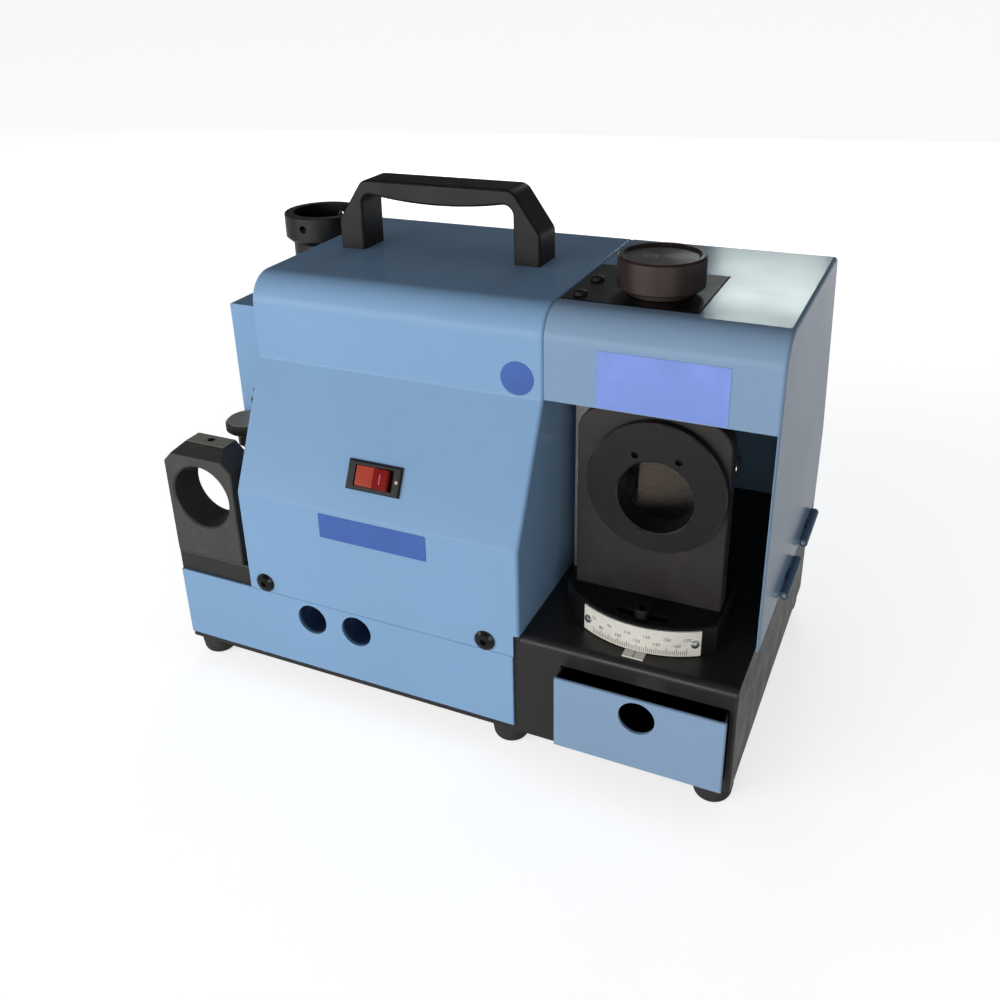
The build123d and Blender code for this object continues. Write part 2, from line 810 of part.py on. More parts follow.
def thinning_arm():
    """Angle bracket on the guard's front wall, its toe rounded about the stop spindle."""
    toe_y = guard_front - arm_reach
    sole = Polyline(
        (toe_y, arm_top_z() - arm_thickness),
        (guard_front, arm_top_z() - arm_thickness),
        (guard_front, arm_screw_z() + 8.0),
        (guard_front - arm_heel, arm_screw_z() + 8.0),
        (guard_front - arm_heel, arm_top_z()),
        (toe_y, arm_top_z()),
        close=True,
    )
    limits = (arm_middle_x() - arm_width / 2, arm_middle_x() + arm_width / 2)
    arm = along_x(make_face(sole), *limits)
    toe = arm.edges().filter_by(Axis.Z).group_by(Axis.Y)[0]
    arm = fillet(toe, 0.4 * arm_width)
    arm -= bar_z(stop_spindle_radius + running_fit, stop_knob_x, stop_knob_y, 0, arm_top_z() + 1)
    for x in arm_screw_places():
        arm -= bar_y(clear(arm_screw_radius), x, guard_front - 2 * arm_heel, guard_front + 1, arm_screw_z())
    return arm


def arm_screws():
    screw = cap_screw(arm_screw_radius, arm_screw_length)
    return [facing_front(x, guard_front - arm_heel, arm_screw_z()) * screw for x in arm_screw_places()]


def stop_spindle():
    low = arm_top_z() - arm_thickness
    spindle = bar_z(stop_spindle_radius, 0, 0, low - 10.0, arm_top_z() + stop_spindle_seat)
    spindle += bar_z(stop_spindle_radius + 2.5, 0, 0, low - 4.0 - lift_gap, low - lift_gap)
    return Pos(stop_knob_x, stop_knob_y, 0) * spindle


def stop_knob():
    low = arm_top_z() + lift_gap
    radius = stop_knob_radius
    top = low + stop_knob_thickness
    profile = [
        (stop_spindle_radius, low),
        (0.5 * radius, low),
        (0.5 * radius, low + 2.0),
        (radius - 1.0, low + 2.0),
        (radius, low + 3.0),
        (radius, top - 1.5),
        (radius - 1.5, top),
        (0, top),
        (0, arm_top_z() + stop_spindle_seat),
        (stop_spindle_radius, arm_top_z() + stop_spindle_seat),
    ]
    return Pos(stop_knob_x, stop_knob_y, 0) * turned(profile)


def gauge_post():
    top = guard_top_z + gauge_post_height
    post = turned([(0, guard_top_z), (gauge_post_radius, guard_top_z), (gauge_post_radius, top), (0, top)])
    post = chamfer(post.edges().group_by(Axis.Z)[-1], 1.5)
    post = Pos(gauge_x, gauge_y, 0) * post
    return post - bar_z(clear(gauge_bolt_radius), gauge_x, gauge_y, guard_top_z - 1, top + 1)


def gauge_cup():
    low = guard_top_z + gauge_post_height
    top = low + gauge_cup_height
    outer = chuck_radius + gauge_cup_wall
    ledge = top - gauge_depth
    profile = [
        (gauge_bolt_radius + screw_fit, low),
        (outer - 3.0, low),
        (outer, low + 3.0),
        (outer, top - 0.6),
        (outer - 0.6, top),
        (chuck_radius, top),
        (chuck_radius, ledge),
        (gauge_bolt_radius + screw_fit, ledge),
    ]
    cup = Pos(gauge_x, gauge_y, 0) * turned(profile)
    hole_z = top - gauge_depth / 2
    reach = outer + 1
    return cup - bar_y(gauge_cross_hole_radius, gauge_x, gauge_y - reach, gauge_y + reach, hole_z)


def gauge_bolt():
    ledge = guard_top_z + gauge_post_height + gauge_cup_height - gauge_depth
    length = ledge - guard_top_z + sheet
    bolt = Rot(180, 0, 0) * cap_screw(gauge_bolt_radius, length - 0.5)
    return Pos(gauge_x, gauge_y, guard_top_z - sheet) * bolt


# Feed knob and its carrier


def frame_bolt_x():
    return frame_left + frame_wall + frame_foot_width - 8.0


def frame_bolt_places():
    return (frame_foot_front + frame_bolt_inset, frame_rear - frame_bolt_inset)


def plate_screw_places():
    return ((frame_left + 7.5, feed_y - 20.6), (frame_left + 7.5, feed_y + 11.4))


def head_frame():
    """Cast upright beside the wheel: a wall, a foot behind the swivel and an arm under the top plate."""
    arm_low = top_plate_base - frame_arm
    arm_right = notch_right - 8.0
    foot_top = base_height + frame_foot_thickness
    wall_right = frame_left + frame_wall
    frame = slab((frame_left, wall_right), (frame_front, frame_rear), (base_height, top_plate_base))
    foot_x = (wall_right, wall_right + frame_foot_width)
    foot = slab(foot_x, (frame_foot_front, frame_rear), (base_height, foot_top))
    arm_front = notch_front + 4.0
    arm = slab((frame_left, arm_right), (arm_front, frame_arm_rear), (arm_low, top_plate_base))
    gusset = [(wall_right, arm_low), (wall_right + frame_gusset, arm_low)]
    gusset += [(wall_right, arm_low - frame_gusset)]
    web = along_y(make_face(Polyline(*gusset, close=True)), frame_front, frame_front + 8.0)
    brow = [(frame_front, arm_low), (arm_front, arm_low), (frame_front, arm_low - 24.0)]
    frame += foot + arm + web + along_x(make_face(Polyline(*brow, close=True)), frame_left, wall_right)
    rear_top = frame.edges().filter_by(Axis.X).group_by(Axis.Y)[-1].group_by(Axis.Z)[-1]
    frame = fillet(rear_top, 30.0)
    hole = shaft_journal_radius + shaft_wall_clearance
    frame -= bar_x(hole, frame_left - 1, wall_right + 1, motor_y, motor_z)
    frame -= bar_z(feed_spindle_radius + running_fit, feed_x, feed_y, arm_low - 1, top_plate_base + 1)
    for y in frame_bolt_places():
        frame -= bar_z(clear(frame_bolt_radius), frame_bolt_x(), y, base_height - 1, foot_top + 1)
    for x, y in plate_screw_places():
        bottom = top_plate_base - plate_screw_length
        frame -= bar_z(clear(plate_screw_radius), x, y, bottom, top_plate_base + 1)
    return frame


def frame_bolts():
    bolt = cap_screw(frame_bolt_radius, frame_foot_thickness + base_deck)
    return [Pos(frame_bolt_x(), y, base_height + frame_foot_thickness) * bolt for y in frame_bolt_places()]


def top_plate():
    limits_x = (wheel_hood_left, notch_right - top_plate_gap)
    limits_y = (notch_front + top_plate_gap, notch_front + notch_depth - top_plate_gap)
    plate = slab(limits_x, limits_y, (top_plate_base, top_plate_top))
    plate = chamfer(plate.faces().sort_by(Axis.Z)[-1].edges(), 0.5 * edge_break)
    plate -= bar_z(feed_spindle_radius + running_fit, feed_x, feed_y, top_plate_base - 1, top_plate_top + 1)
    for x, y in plate_screw_places():
        plate -= bar_z(clear(plate_screw_radius), x, y, top_plate_base - 1, top_plate_top + 1)
    return plate


def plate_screws():
    screw = pan_screw(plate_screw_radius, plate_screw_length)
    return [Pos(x, y, top_plate_top) * screw for x, y in plate_screw_places()]


def feed_knob():
    neck_low = top_plate_top + lift_gap
    low = neck_low + feed_neck_height
    top = low + feed_knob_height
    radius = feed_knob_radius
    profile = [
        (feed_spindle_radius, neck_low),
        (0.75 * radius, neck_low),
        (0.75 * radius, low),
        (radius - 1.0, low),
        (radius, low + 1.0),
        (radius, top - 1.2),
        (radius - 1.2, top),
        (radius - 3.2, top),
        (radius - 5.0, top - 1.6),
        (0, top - 1.6),
        (0, low + feed_spindle_seat),
        (feed_spindle_radius, low + feed_spindle_seat),
    ]
    return Pos(feed_x, feed_y, 0) * turned(profile)


def feed_spindle():
    top = top_plate_top + lift_gap + feed_neck_height + feed_spindle_seat
    low = top_plate_base - frame_arm
    spindle = bar_z(feed_spindle_radius, feed_x, feed_y, low - 16.0, top)
    return spindle + bar_z(feed_spindle_radius + 4.0, feed_x, feed_y, low - 10.0, low - lift_gap)


# Wheel hood and its hinges


def wheel_hood():
    front_points = [(apron_y, hood_skirt_z), (apron_y, hood_top_z)]
    profile = hood_profile(front_points, hood_skirt_z)
    hood = along_x(profile, wheel_hood_left, wheel_hood_right)
    hood = fillet(end_edges(hood, wheel_hood_right, hood_skirt_z), corner_round)
    hood -= along_x(offset(profile, -sheet), wheel_hood_left - 1, wheel_hood_right - sheet)
    whole_x = (wheel_hood_left - 1, wheel_hood_right + 1)
    hood -= slab(whole_x, (apron_y - 1, hood_rear - sheet), (hood_skirt_z - 1, wheel_hood_skirt_z))
    port_x = (wheel_hood_left - 1, wheel_hood_right - sheet)
    hood -= slab(port_x, (apron_y - 1, apron_y + sheet + 1), (hood_skirt_z - 1, hood_upper_bend_z + 0.5))
    notch_y = (notch_front, notch_front + notch_depth)
    hood -= slab((wheel_hood_left - 1, notch_right), notch_y, (hood_top_z - 6, hood_top_z + 1))
    return hood


def hinge_spans(place):
    """Three knuckle spans of one hinge along Y, with a small gap between them."""
    third = hinge_length / 3
    low = place - hinge_length / 2
    return [(low + i * third + 0.2, low + (i + 1) * third - 0.2) for i in range(3)]


def hinge_knuckle(span):
    knuckle = bar_y(hinge_knuckle_radius, hinge_x, *span, hinge_z)
    return knuckle - bar_y(hinge_pin_radius + running_fit, hinge_x, span[0] - 1, span[1] + 1, hinge_z)


def hinge_hood_knuckles():
    """Outer knuckles of both hinges, each on a small web on the hood's wall."""
    knuckles = []
    for place in hinge_places:
        spans = hinge_spans(place)
        for span in (spans[0], spans[2]):
            web = slab((wheel_hood_right, hinge_x), span, (hinge_z, hinge_z + 0.8 * hinge_knuckle_radius))
            bore = bar_y(hinge_pin_radius + running_fit, hinge_x, span[0] - 1, span[1] + 1, hinge_z)
            knuckles.append(web - bore + hinge_knuckle(span))
    return knuckles


def hinge_base_knuckles():
    """Middle knuckles of both hinges, each on a neck from the side of the base."""
    knuckles = []
    for place in hinge_places:
        span = hinge_spans(place)[1]
        neck_top = hinge_z - 0.5 * hinge_knuckle_radius
        neck = [
            (base_length, neck_top - hinge_neck),
            (hinge_x, hinge_z - 0.95 * hinge_knuckle_radius),
            (hinge_x, neck_top),
            (base_length, neck_top),
        ]
        bore = bar_y(hinge_pin_radius + running_fit, hinge_x, span[0] - 1, span[1] + 1, hinge_z)
        knuckle = along_y(make_face(Polyline(*neck, close=True)), *span) - bore
        knuckles.append(knuckle + hinge_knuckle(span))
    return knuckles


def hinge_pins():
    pins = []
    for place in hinge_places:
        spans = hinge_spans(place)
        pins.append(bar_y(hinge_pin_radius, hinge_x, spans[0][0], spans[2][1], hinge_z))
    return pins


# Swivel


def at_swivel(shape):
    return Pos(swivel_x, swivel_y, 0) * shape


def swivel_base():
    trim = Rectangle(2 * swivel_half_width, swivel_tail + swivel_radius)
    outline = Circle(swivel_radius) & Pos(-swivel_shift, (swivel_tail - swivel_radius) / 2) * trim
    table = along_z(outline, swivel_base_z, swivel_top_z)
    tail_edges = table.edges().filter_by(Axis.Z).group_by(Axis.Y)[-1]
    table = fillet(tail_edges, 12.0)
    table = chamfer(table.faces().sort_by(Axis.Z)[-1].edges(), edge_break)
    slot_arc = CenterArc((0, 0), lock_radius, 270 - swivel_range, 2 * swivel_range)
    slot = SlotArc(slot_arc, 2 * (lock_shank_radius + lift_gap))
    table -= along_z(slot, swivel_base_z - 1, swivel_top_z + 1)
    table -= bar_z(pivot_radius + running_fit, 0, 0, swivel_base_z - 1, swivel_top_z - 3.0)
    bolt_y = plate_thickness / 2 - plate_offset
    sink_radius = cap_head_ratio * plate_bolt_radius + 4 * screw_fit
    for x in plate_bolt_places():
        table -= bar_z(clear(plate_bolt_radius), x, bolt_y, swivel_base_z - 1, swivel_top_z + 1)
        table -= bar_z(sink_radius, x, bolt_y, swivel_base_z - 1, swivel_base_z + plate_bolt_sink)
    for angle in scale_screw_angles():
        bottom = scale_screw_length - swivel_radius
        hole = bar_y(clear(scale_screw_radius), 0, -swivel_radius - 1, bottom, scale_middle_z())
        table -= Rot(0, 0, angle) * hole
    return at_swivel(table)


def swivel_pivot():
    return bar_z(pivot_radius, swivel_x, swivel_y, deck_underside, swivel_top_z - 3.5)


def lock_screw():
    screw = cap_screw(lock_shank_radius, swivel_top_z + lift_gap - deck_underside)
    return Pos(swivel_x, swivel_y - lock_radius, swivel_top_z + lift_gap) * screw


def plate_bolt_places():
    reach = plate_half_width - plate_bolt_inset
    return (-plate_shift - reach, reach - plate_shift)


def swivel_plate():
    height = plate_top - swivel_top_z
    outline = Rectangle(2 * plate_half_width, height, align=(Align.CENTER, Align.MIN))
    outline = Pos(-plate_shift, swivel_top_z) * outline
    outline = fillet(outline.vertices().group_by(Axis.Y)[-1], plate_corner_round)
    outline -= Pos(0, ring_z) * Circle(ring_spigot_radius)
    plate = along_y(outline, -plate_offset, plate_thickness - plate_offset)
    rim = plate.faces().sort_by(Axis.Y)[0].outer_wire().edges()
    plate = chamfer([edge for edge in rim if edge.center().Z > swivel_top_z + 1], edge_break)
    bolt_y = plate_thickness / 2 - plate_offset
    for x in plate_bolt_places():
        plate -= bar_z(clear(plate_bolt_radius), x, bolt_y, swivel_top_z - 1, swivel_top_z + plate_bolt_grip)
    return at_swivel(plate)


def plate_bolts():
    bolt = Rot(180, 0, 0) * cap_screw(plate_bolt_radius, swivel_height - plate_bolt_sink + plate_bolt_grip)
    bolt_y = plate_thickness / 2 - plate_offset
    return [at_swivel(Pos(x, bolt_y, swivel_base_z + plate_bolt_sink) * bolt) for x in plate_bolt_places()]


def chuck_port_z():
    return ring_z - ring_eccentricity


def guide_ring():
    """Round face plate on a spigot, its chuck bore set below the middle of the ring."""
    front = -plate_offset - ring_thickness
    back = plate_thickness - plate_offset
    ring = bar_y(ring_radius, 0, front, -plate_offset, ring_z)
    ring = chamfer(ring.edges().group_by(Axis.Y)[0], 1.0)
    ring += bar_y(ring_spigot_radius, 0, -plate_offset, back, ring_z)
    ring -= bar_y(chuck_radius, 0, front - 1, back + 1, chuck_port_z())
    ring = chamfer(ring.faces().sort_by(Axis.Y)[0].inner_wires()[0].edges(), port_lead)
    for side in (-1, 1):
        x = side * ring_hole_spacing / 2
        ring -= bar_y(ring_hole_radius, x, front - 1, front + 4.0, ring_z + ring_hole_rise)
    return at_swivel(ring)


def scale_middle_z():
    return swivel_base_z + 0.5 + scale_height / 2


def scale_screw_angles():
    return (-scale_screw_angle, scale_screw_angle)


def scale_plate():
    band = Circle(scale_face_radius) - Circle(swivel_radius + scale_seat_gap)
    reach = 2 * swivel_radius
    tip = reach * math.sin(math.radians(scale_half_angle))
    depth = reach * math.cos(math.radians(scale_half_angle))
    wedge = make_face(Polyline((0, 0), (-tip, -depth), (0, -1.2 * reach), (tip, -depth), close=True))
    low = scale_middle_z() - scale_height / 2
    strip = along_z(band & wedge, low, low + scale_height)
    for angle in scale_screw_angles():
        outside = -scale_face_radius - 1
        hole = bar_y(clear(scale_screw_radius), 0, outside, 1 - swivel_radius, scale_middle_z())
        strip -= Rot(0, 0, angle) * hole
    return at_swivel(strip)


def scale_screws():
    screw = pan_screw(scale_screw_radius, scale_screw_length)
    seat = facing_front(0, -scale_face_radius, scale_middle_z())
    return [at_swivel(Rot(0, 0, angle) * seat * screw) for angle in scale_screw_angles()]


def pointer_plate():
    back = swivel_y - scale_face_radius - lift_gap
    limits_x = (swivel_x - pointer_width / 2, swivel_x + pointer_width / 2)
    return slab(limits_x, (back - pointer_length, back), (base_height, base_height + pointer_sheet))


# Drawer


def drawer_box():
    low = drawer_floor_z
    top = low + drawer_wall_height
    back = drawer_back_y + drawer_depth
    box = slab((drawer_left, drawer_right), (drawer_back_y, back), (low, top))
    inner_x = (drawer_left + drawer_sheet, drawer_right - drawer_sheet)
    inner = slab(inner_x, (drawer_back_y - 1, back - drawer_sheet), (low + drawer_sheet, top + 1))
    return box - inner


def drawer_front():
    limits_x = (drawer_left, drawer_front_right)
    low = bay_floor + drawer_front_lift
    plate = slab(limits_x, (drawer_front_y, drawer_back_y), (low, drawer_front_height))
    plate = fillet(plate.edges().group_by(Axis.Y)[0], 0.6 * drawer_front_sheet)
    middle = (drawer_left + drawer_front_right) / 2
    return plate - bar_y(finger_hole_radius, middle, drawer_front_y - 1, drawer_back_y + 1, finger_hole_z)


# Motor, shaft and wheels


def motor_bolt_places():
    xs = (motor_left + motor_bolt_end_inset, motor_right - motor_bolt_end_inset)
    reach = motor_foot_half_width - motor_bolt_side_inset
    ys = (motor_y - reach, motor_y + reach)
    return [(x, y) for x in xs for y in ys]


def motor_housing():
    shell = bar_x(motor_radius, motor_left, motor_right, motor_y, motor_z)
    foot_top = base_height + motor_foot_thickness
    legs = Polyline(
        (motor_y - motor_foot_half_width, base_height),
        (motor_y + motor_foot_half_width, base_height),
        (motor_y + motor_foot_half_width, foot_top),
        (motor_y + 0.62 * motor_foot_half_width, foot_top),
        (motor_y + 0.5 * motor_radius, motor_z - 0.5 * motor_radius),
        (motor_y - 0.5 * motor_radius, motor_z - 0.5 * motor_radius),
        (motor_y - 0.62 * motor_foot_half_width, foot_top),
        (motor_y - motor_foot_half_width, foot_top),
        close=True,
    )
    shell += along_x(make_face(legs), motor_left + motor_foot_inset, motor_right - motor_foot_inset)
    shell -= bar_x(motor_radius - motor_wall, motor_left - 1, motor_right + 1, motor_y, motor_z)
    for x, y in motor_bolt_places():
        shell -= bar_z(clear(motor_bolt_radius), x, y, base_height - 1, foot_top + 1)
    return shell


def motor_bolts():
    bolt = cap_screw(motor_bolt_radius, motor_foot_thickness + base_deck)
    return [Pos(x, y, base_height + motor_foot_thickness) * bolt for x, y in motor_bolt_places()]


def end_bell(outer_x, inner_x):
    """End cover of the motor with a spigot in the housing and a seat for the bearing."""
    toward = 1 if inner_x > outer_x else -1
    spigot = motor_radius - motor_wall
    return turned_x([
        (outer_x, shaft_journal_radius + bell_end_wall),
        (outer_x, 0.7 * motor_radius),
        (inner_x - toward * bell_spigot, motor_radius),
        (inner_x, motor_radius),
        (inner_x, spigot),
        (inner_x + toward * bell_spigot, spigot),
        (inner_x + toward * bell_spigot, spigot - bell_spigot),
        (inner_x, spigot - bell_spigot),
        (inner_x, bearing_radius),
        (outer_x + toward * bell_end_wall, bearing_radius),
        (outer_x + toward * bell_end_wall, shaft_journal_radius + bell_end_wall),
    ])


def motor_end_bells():
    left = end_bell(motor_left - motor_bell, motor_left)
    right = end_bell(motor_right + motor_bell, motor_right)
    return [left, right]


def motor_bearings():
    bore = shaft_journal_radius + running_fit
    depth = motor_bell - bell_end_wall
    seats = ((motor_left - depth, motor_left), (motor_right, motor_right + depth))
    rings = []
    for x_from, x_to in seats:
        ring = [(x_from, bore), (x_to, bore), (x_to, bearing_radius), (x_from, bearing_radius)]
        rings.append(turned_x(ring))
    return rings


def stator_core():
    x_from = motor_left + core_inset
    x_to = motor_right - core_inset
    bore = rotor_radius + rotor_air_gap
    outer = motor_radius - motor_wall
    return turned_x([(x_from, bore), (x_to, bore), (x_to, outer), (x_from, outer)])


def rotor_core():
    x_from = motor_left + core_inset + rotor_end_inset
    x_to = motor_right - core_inset - rotor_end_inset
    bore = shaft_body_radius
    return turned_x([(x_from, bore), (x_to, bore), (x_to, rotor_radius), (x_from, rotor_radius)])


def thinning_shoulder():
    return thinning_wheel_left + thinning_wheel_width + thinning_flange_width


def wheel_shoulder():
    return wheel_left - wheel_flange_width


def motor_shaft():
    left = thinning_wheel_left - thinning_nut_width - 1.5
    right = wheel_right + wheel_nut_width + 3.0
    return turned_x([
        (left, 0),
        (left, shaft_end_radius),
        (thinning_shoulder(), shaft_end_radius),
        (thinning_shoulder(), shaft_journal_radius),
        (motor_left + shaft_shoulder_inset, shaft_journal_radius),
        (motor_left + shaft_shoulder_inset, shaft_body_radius),
        (motor_right - shaft_shoulder_inset, shaft_body_radius),
        (motor_right - shaft_shoulder_inset, shaft_journal_radius),
        (wheel_shoulder(), shaft_journal_radius),
        (wheel_shoulder(), shaft_end_radius),
        (right, shaft_end_radius),
        (right, 0),
    ])


def thinning_wheel():
    left = thinning_wheel_left
    right = left + thinning_wheel_width
    rim = thinning_wheel_radius
    return turned_x([
        (left, shaft_end_radius),
        (right, shaft_end_radius),
        (right, rim - thinning_rim_bevel),
        (right - thinning_rim_bevel, rim),
        (left + thinning_rim_bevel, rim),
        (left, rim - thinning_rim_bevel),
    ])


def thinning_flange():
    right = thinning_shoulder()
    left = right - thinning_flange_width
    outline = [(left, shaft_end_radius), (right, shaft_end_radius)]
    outline += [(right, 0.75 * thinning_flange_radius), (left, thinning_flange_radius)]
    return turned_x(outline)


def hex_nut(x_from, x_to, radius):
    outline = RegularPolygon(radius, 6) - Circle(shaft_end_radius)
    return along_x(Pos(motor_y, motor_z) * outline, x_from, x_to)


def thinning_nut():
    return hex_nut(thinning_wheel_left - thinning_nut_width, thinning_wheel_left, wheel_nut_radius)


def wheel_radius_at(x):
    """Radius of the tapered grinding face: it meets the drill axis on the swivel's own axis."""
    return wheel_tip_radius + (swivel_x - x) * wheel_slope


def grinding_wheel():
    back = wheel_radius_at(wheel_left)
    nose = wheel_radius_at(wheel_right)
    return turned_x([
        (wheel_left, shaft_end_radius),
        (wheel_left, back - 1.0),
        (wheel_left + 1.0, back - 1.0),
        (wheel_right, nose),
        (wheel_right, 0.8 * nose),
        (wheel_right - wheel_recess, 0.62 * nose),
        (wheel_right - wheel_recess, shaft_end_radius),
    ])


def wheel_flange():
    left = wheel_shoulder()
    outline = [(left, shaft_end_radius), (wheel_left, shaft_end_radius)]
    outline += [(wheel_left, wheel_flange_radius), (wheel_left - wheel_flange_width / 3, wheel_flange_radius)]
    outline += [(left, 0.6 * wheel_flange_radius)]
    return turned_x(outline)


def wheel_nut():
    return hex_nut(wheel_right - wheel_recess, wheel_right + wheel_nut_width, wheel_nut_radius)


# Mains inlet


def mains_inlet():
    """Flush appliance inlet: a flange on the base's back wall and a recessed body with its three pins."""
    face_y = base_depth + inlet_flange
    flange = RectangleRounded(inlet_width, inlet_height, 4.0)
    body_width = inlet_width - 2 * inlet_side_lip
    body_height = inlet_height - 2 * inlet_edge_lip
    body = RectangleRounded(body_width, body_height, 3.0)
    recess = RectangleRounded(body_width - 2 * inlet_wall, body_height - inlet_wall, 3.0)
    at = Pos(inlet_x, inlet_z)
    inlet = along_y(at * flange, base_depth, face_y)
    inlet += along_y(at * body, base_depth - inlet_body_depth, base_depth)
    inlet -= along_y(at * recess, face_y - inlet_recess_depth, face_y + 1)
    for x, rise in ((-inlet_pin_spacing, -2.0), (0, 2.0), (inlet_pin_spacing, -2.0)):
        pin = Pos(inlet_x + x, inlet_z + rise) * Rectangle(inlet_pin_width, 2 * inlet_pin_width)
        inlet += along_y(pin, face_y - inlet_recess_depth - 1, face_y - 6.0)
    return inlet


def solids():
    """Every piece by its name; a list is a group of like pieces."""
    return {
        "base_box": base_box(),
        "rubber_feet": rubber_feet(),
        "foot_screws": foot_screws(),
        "front_panel": front_panel(),
        "main_hood": main_hood(),
        "hood_screws": hood_screws(),
        "carry_handle": carry_handle(),
        "handle_bolts": handle_bolts(),
        "switch_housing": switch_housing(),
        "switch_rocker": switch_rocker(),
        "thinning_block": thinning_block(),
        "block_grub_screw": block_grub_screw(),
        "block_bolts": block_bolts(),
        "side_guard": side_guard(),
        "thinning_arm": thinning_arm(),
        "arm_screws": arm_screws(),
        "stop_spindle": stop_spindle(),
        "stop_knob": stop_knob(),
        "gauge_post": gauge_post(),
        "gauge_cup": gauge_cup(),
        "gauge_bolt": gauge_bolt(),
        "head_frame": head_frame(),
        "frame_bolts": frame_bolts(),
        "top_plate": top_plate(),
        "plate_screws": plate_screws(),
        "feed_knob": feed_knob(),
        "feed_spindle": feed_spindle(),
        "wheel_hood": wheel_hood(),
        "hinge_hood_knuckles": hinge_hood_knuckles(),
        "hinge_base_knuckles": hinge_base_knuckles(),
        "hinge_pins": hinge_pins(),
        "swivel_base": swivel_base(),
        "swivel_pivot": swivel_pivot(),
        "lock_screw": lock_screw(),
        "swivel_plate": swivel_plate(),
        "plate_bolts": plate_bolts(),
        "guide_ring": guide_ring(),
        "scale_plate": scale_plate(),
        "scale_screws": scale_screws(),
        "pointer_plate": pointer_plate(),
        "drawer_box": drawer_box(),
        "drawer_front": drawer_front(),
        "motor_housing": motor_housing(),
        "motor_bolts": motor_bolts(),
        "motor_end_bells": motor_end_bells(),
        "motor_bearings": motor_bearings(),
        "stator_core": stator_core(),
        "rotor_core": rotor_core(),
        "motor_shaft": motor_shaft(),
        "thinning_wheel": thinning_wheel(),
        "thinning_flange": thinning_flange(),
        "thinning_nut": thinning_nut(),
        "grinding_wheel": grinding_wheel(),
        "wheel_flange": wheel_flange(),
        "wheel_nut": wheel_nut(),
        "mains_inlet": mains_inlet(),
    }


def main():
    """Stand the part on the floor, centred on its own footprint, and write each piece to its file."""
    os.makedirs("parts", exist_ok=True)
    to_floor = Pos(-overall_middle_x, -overall_middle_y, foot_height)
    for name, piece in solids().items():
        group = piece if isinstance(piece, list) else [piece]
        placed = [to_floor * solid for single in group for solid in single.solids()]
        whole = placed[0] if len(placed) == 1 else Compound(children=placed)
        export_step(whole, os.path.join("parts", name + ".step"))


if __name__ == "__main__":
    main()
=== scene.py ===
import json
import math

import bmesh
import bpy
from bpy.props import FloatProperty, FloatVectorProperty, IntProperty, PointerProperty
from mathutils import Matrix, Vector


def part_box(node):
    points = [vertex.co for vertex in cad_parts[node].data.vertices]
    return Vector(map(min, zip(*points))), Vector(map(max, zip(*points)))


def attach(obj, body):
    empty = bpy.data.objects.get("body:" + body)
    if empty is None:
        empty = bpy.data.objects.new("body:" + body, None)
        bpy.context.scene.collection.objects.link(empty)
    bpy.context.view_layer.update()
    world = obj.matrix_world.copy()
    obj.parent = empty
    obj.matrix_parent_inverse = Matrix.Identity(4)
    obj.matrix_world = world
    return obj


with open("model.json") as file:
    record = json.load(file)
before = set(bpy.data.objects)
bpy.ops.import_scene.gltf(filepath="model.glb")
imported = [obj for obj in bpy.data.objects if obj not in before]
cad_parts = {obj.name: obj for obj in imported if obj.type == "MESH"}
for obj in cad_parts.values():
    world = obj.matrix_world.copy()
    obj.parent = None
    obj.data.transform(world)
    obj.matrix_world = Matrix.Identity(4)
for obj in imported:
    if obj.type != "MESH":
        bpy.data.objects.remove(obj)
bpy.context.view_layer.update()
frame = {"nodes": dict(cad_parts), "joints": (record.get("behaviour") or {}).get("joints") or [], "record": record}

bl_info = {
    "name": "Drill Bit Grinder",
    "version": (1, 0, 0),
    "blender": (4, 5, 0),
    "location": "3D View > Sidebar > Grinder",
    "description": "Finishes, markings and studio for a portable drill bit grinder",
    "category": "Object",
}

MM = 0.001

# Axes that round pieces are turned about
FRONT_TO_BACK = 1
UPRIGHT = 2

# A worn rim, painted paler as wear and as a painted highlight where the edge catches light, lies this far off the
# edge of a bore or a disc. It is fully worn in its core and fades out
RIM_INSET = 0.6 * MM
RIM_CORE = 0.2 * MM
RIM_FADE = 0.55 * MM

# A paler top, painted light where top faces catch the light, starts this far below the top of a piece and is fully
# lightened this much higher
LIT_TOP_DEPTH = 0.3 * MM
LIT_TOP_FADE = 0.2 * MM

# Painted shade in the panel's tool holes starts this far behind its front and is fully dark this much deeper
HOLE_SHADE_START = 0.5 * MM
HOLE_SHADE_FADE = 3.0 * MM

# Thickness of the marks laid on the pointer and the switch
MARK_DEPTH = 0.05 * MM

# Share of the pointer's depth that its line crosses
INDEX_SHARE = 0.96

# Spot of each light, the place it is turned to, and its width and height, in metres
LIGHTS = {
    "key_softbox": ((-0.97, -1.90, 0.40), (0.02, 0.0, 0.17), (2.4, 0.74)),
    "side_softbox": ((1.05, -1.95, 0.40), (0.05, 0.0, 0.17), (1.6, 0.70)),
    "back_softbox": ((-0.35, 2.25, 0.36), (0.0, 0.0, 0.16), (2.2, 0.56)),
    "back_panel": ((-0.17, 2.05, 0.96), (0.14, 0.0, 0.28), (0.28, 0.17)),
}

# Half the width of the floor and the reach of the camera, in metres, and its sensor in millimetres
FLOOR_REACH = 45.0
CAMERA_REACH = 200.0
SENSOR_WIDTH = 36.0


# Finding places on the machine


def corner(node, side):
    """Low (0) or high (1) corner of a piece, in metres."""
    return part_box(node)[side]


def middle(node):
    low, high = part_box(node)
    return (low + high) / 2


def joint_place(name):
    found = [joint for joint in frame["joints"] if joint["name"] == name]
    return Vector(found[0]["pos_m"])


def bore_edge(name):
    """Centre and radius of the rim round one of the machine's chuck bores, in metres."""
    found = [mount for mount in frame["record"]["mounts"] if mount["name"] == name]
    return Vector(found[0]["pos_m"]), found[0]["dims"]["r_mm"] * MM + RIM_INSET


def outer_edge(node):
    """Centre and radius of the rim round a disc, in metres."""
    low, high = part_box(node)
    return (low + high) / 2, (high.x - low.x) / 2 - RIM_INSET


# Settings a user would change


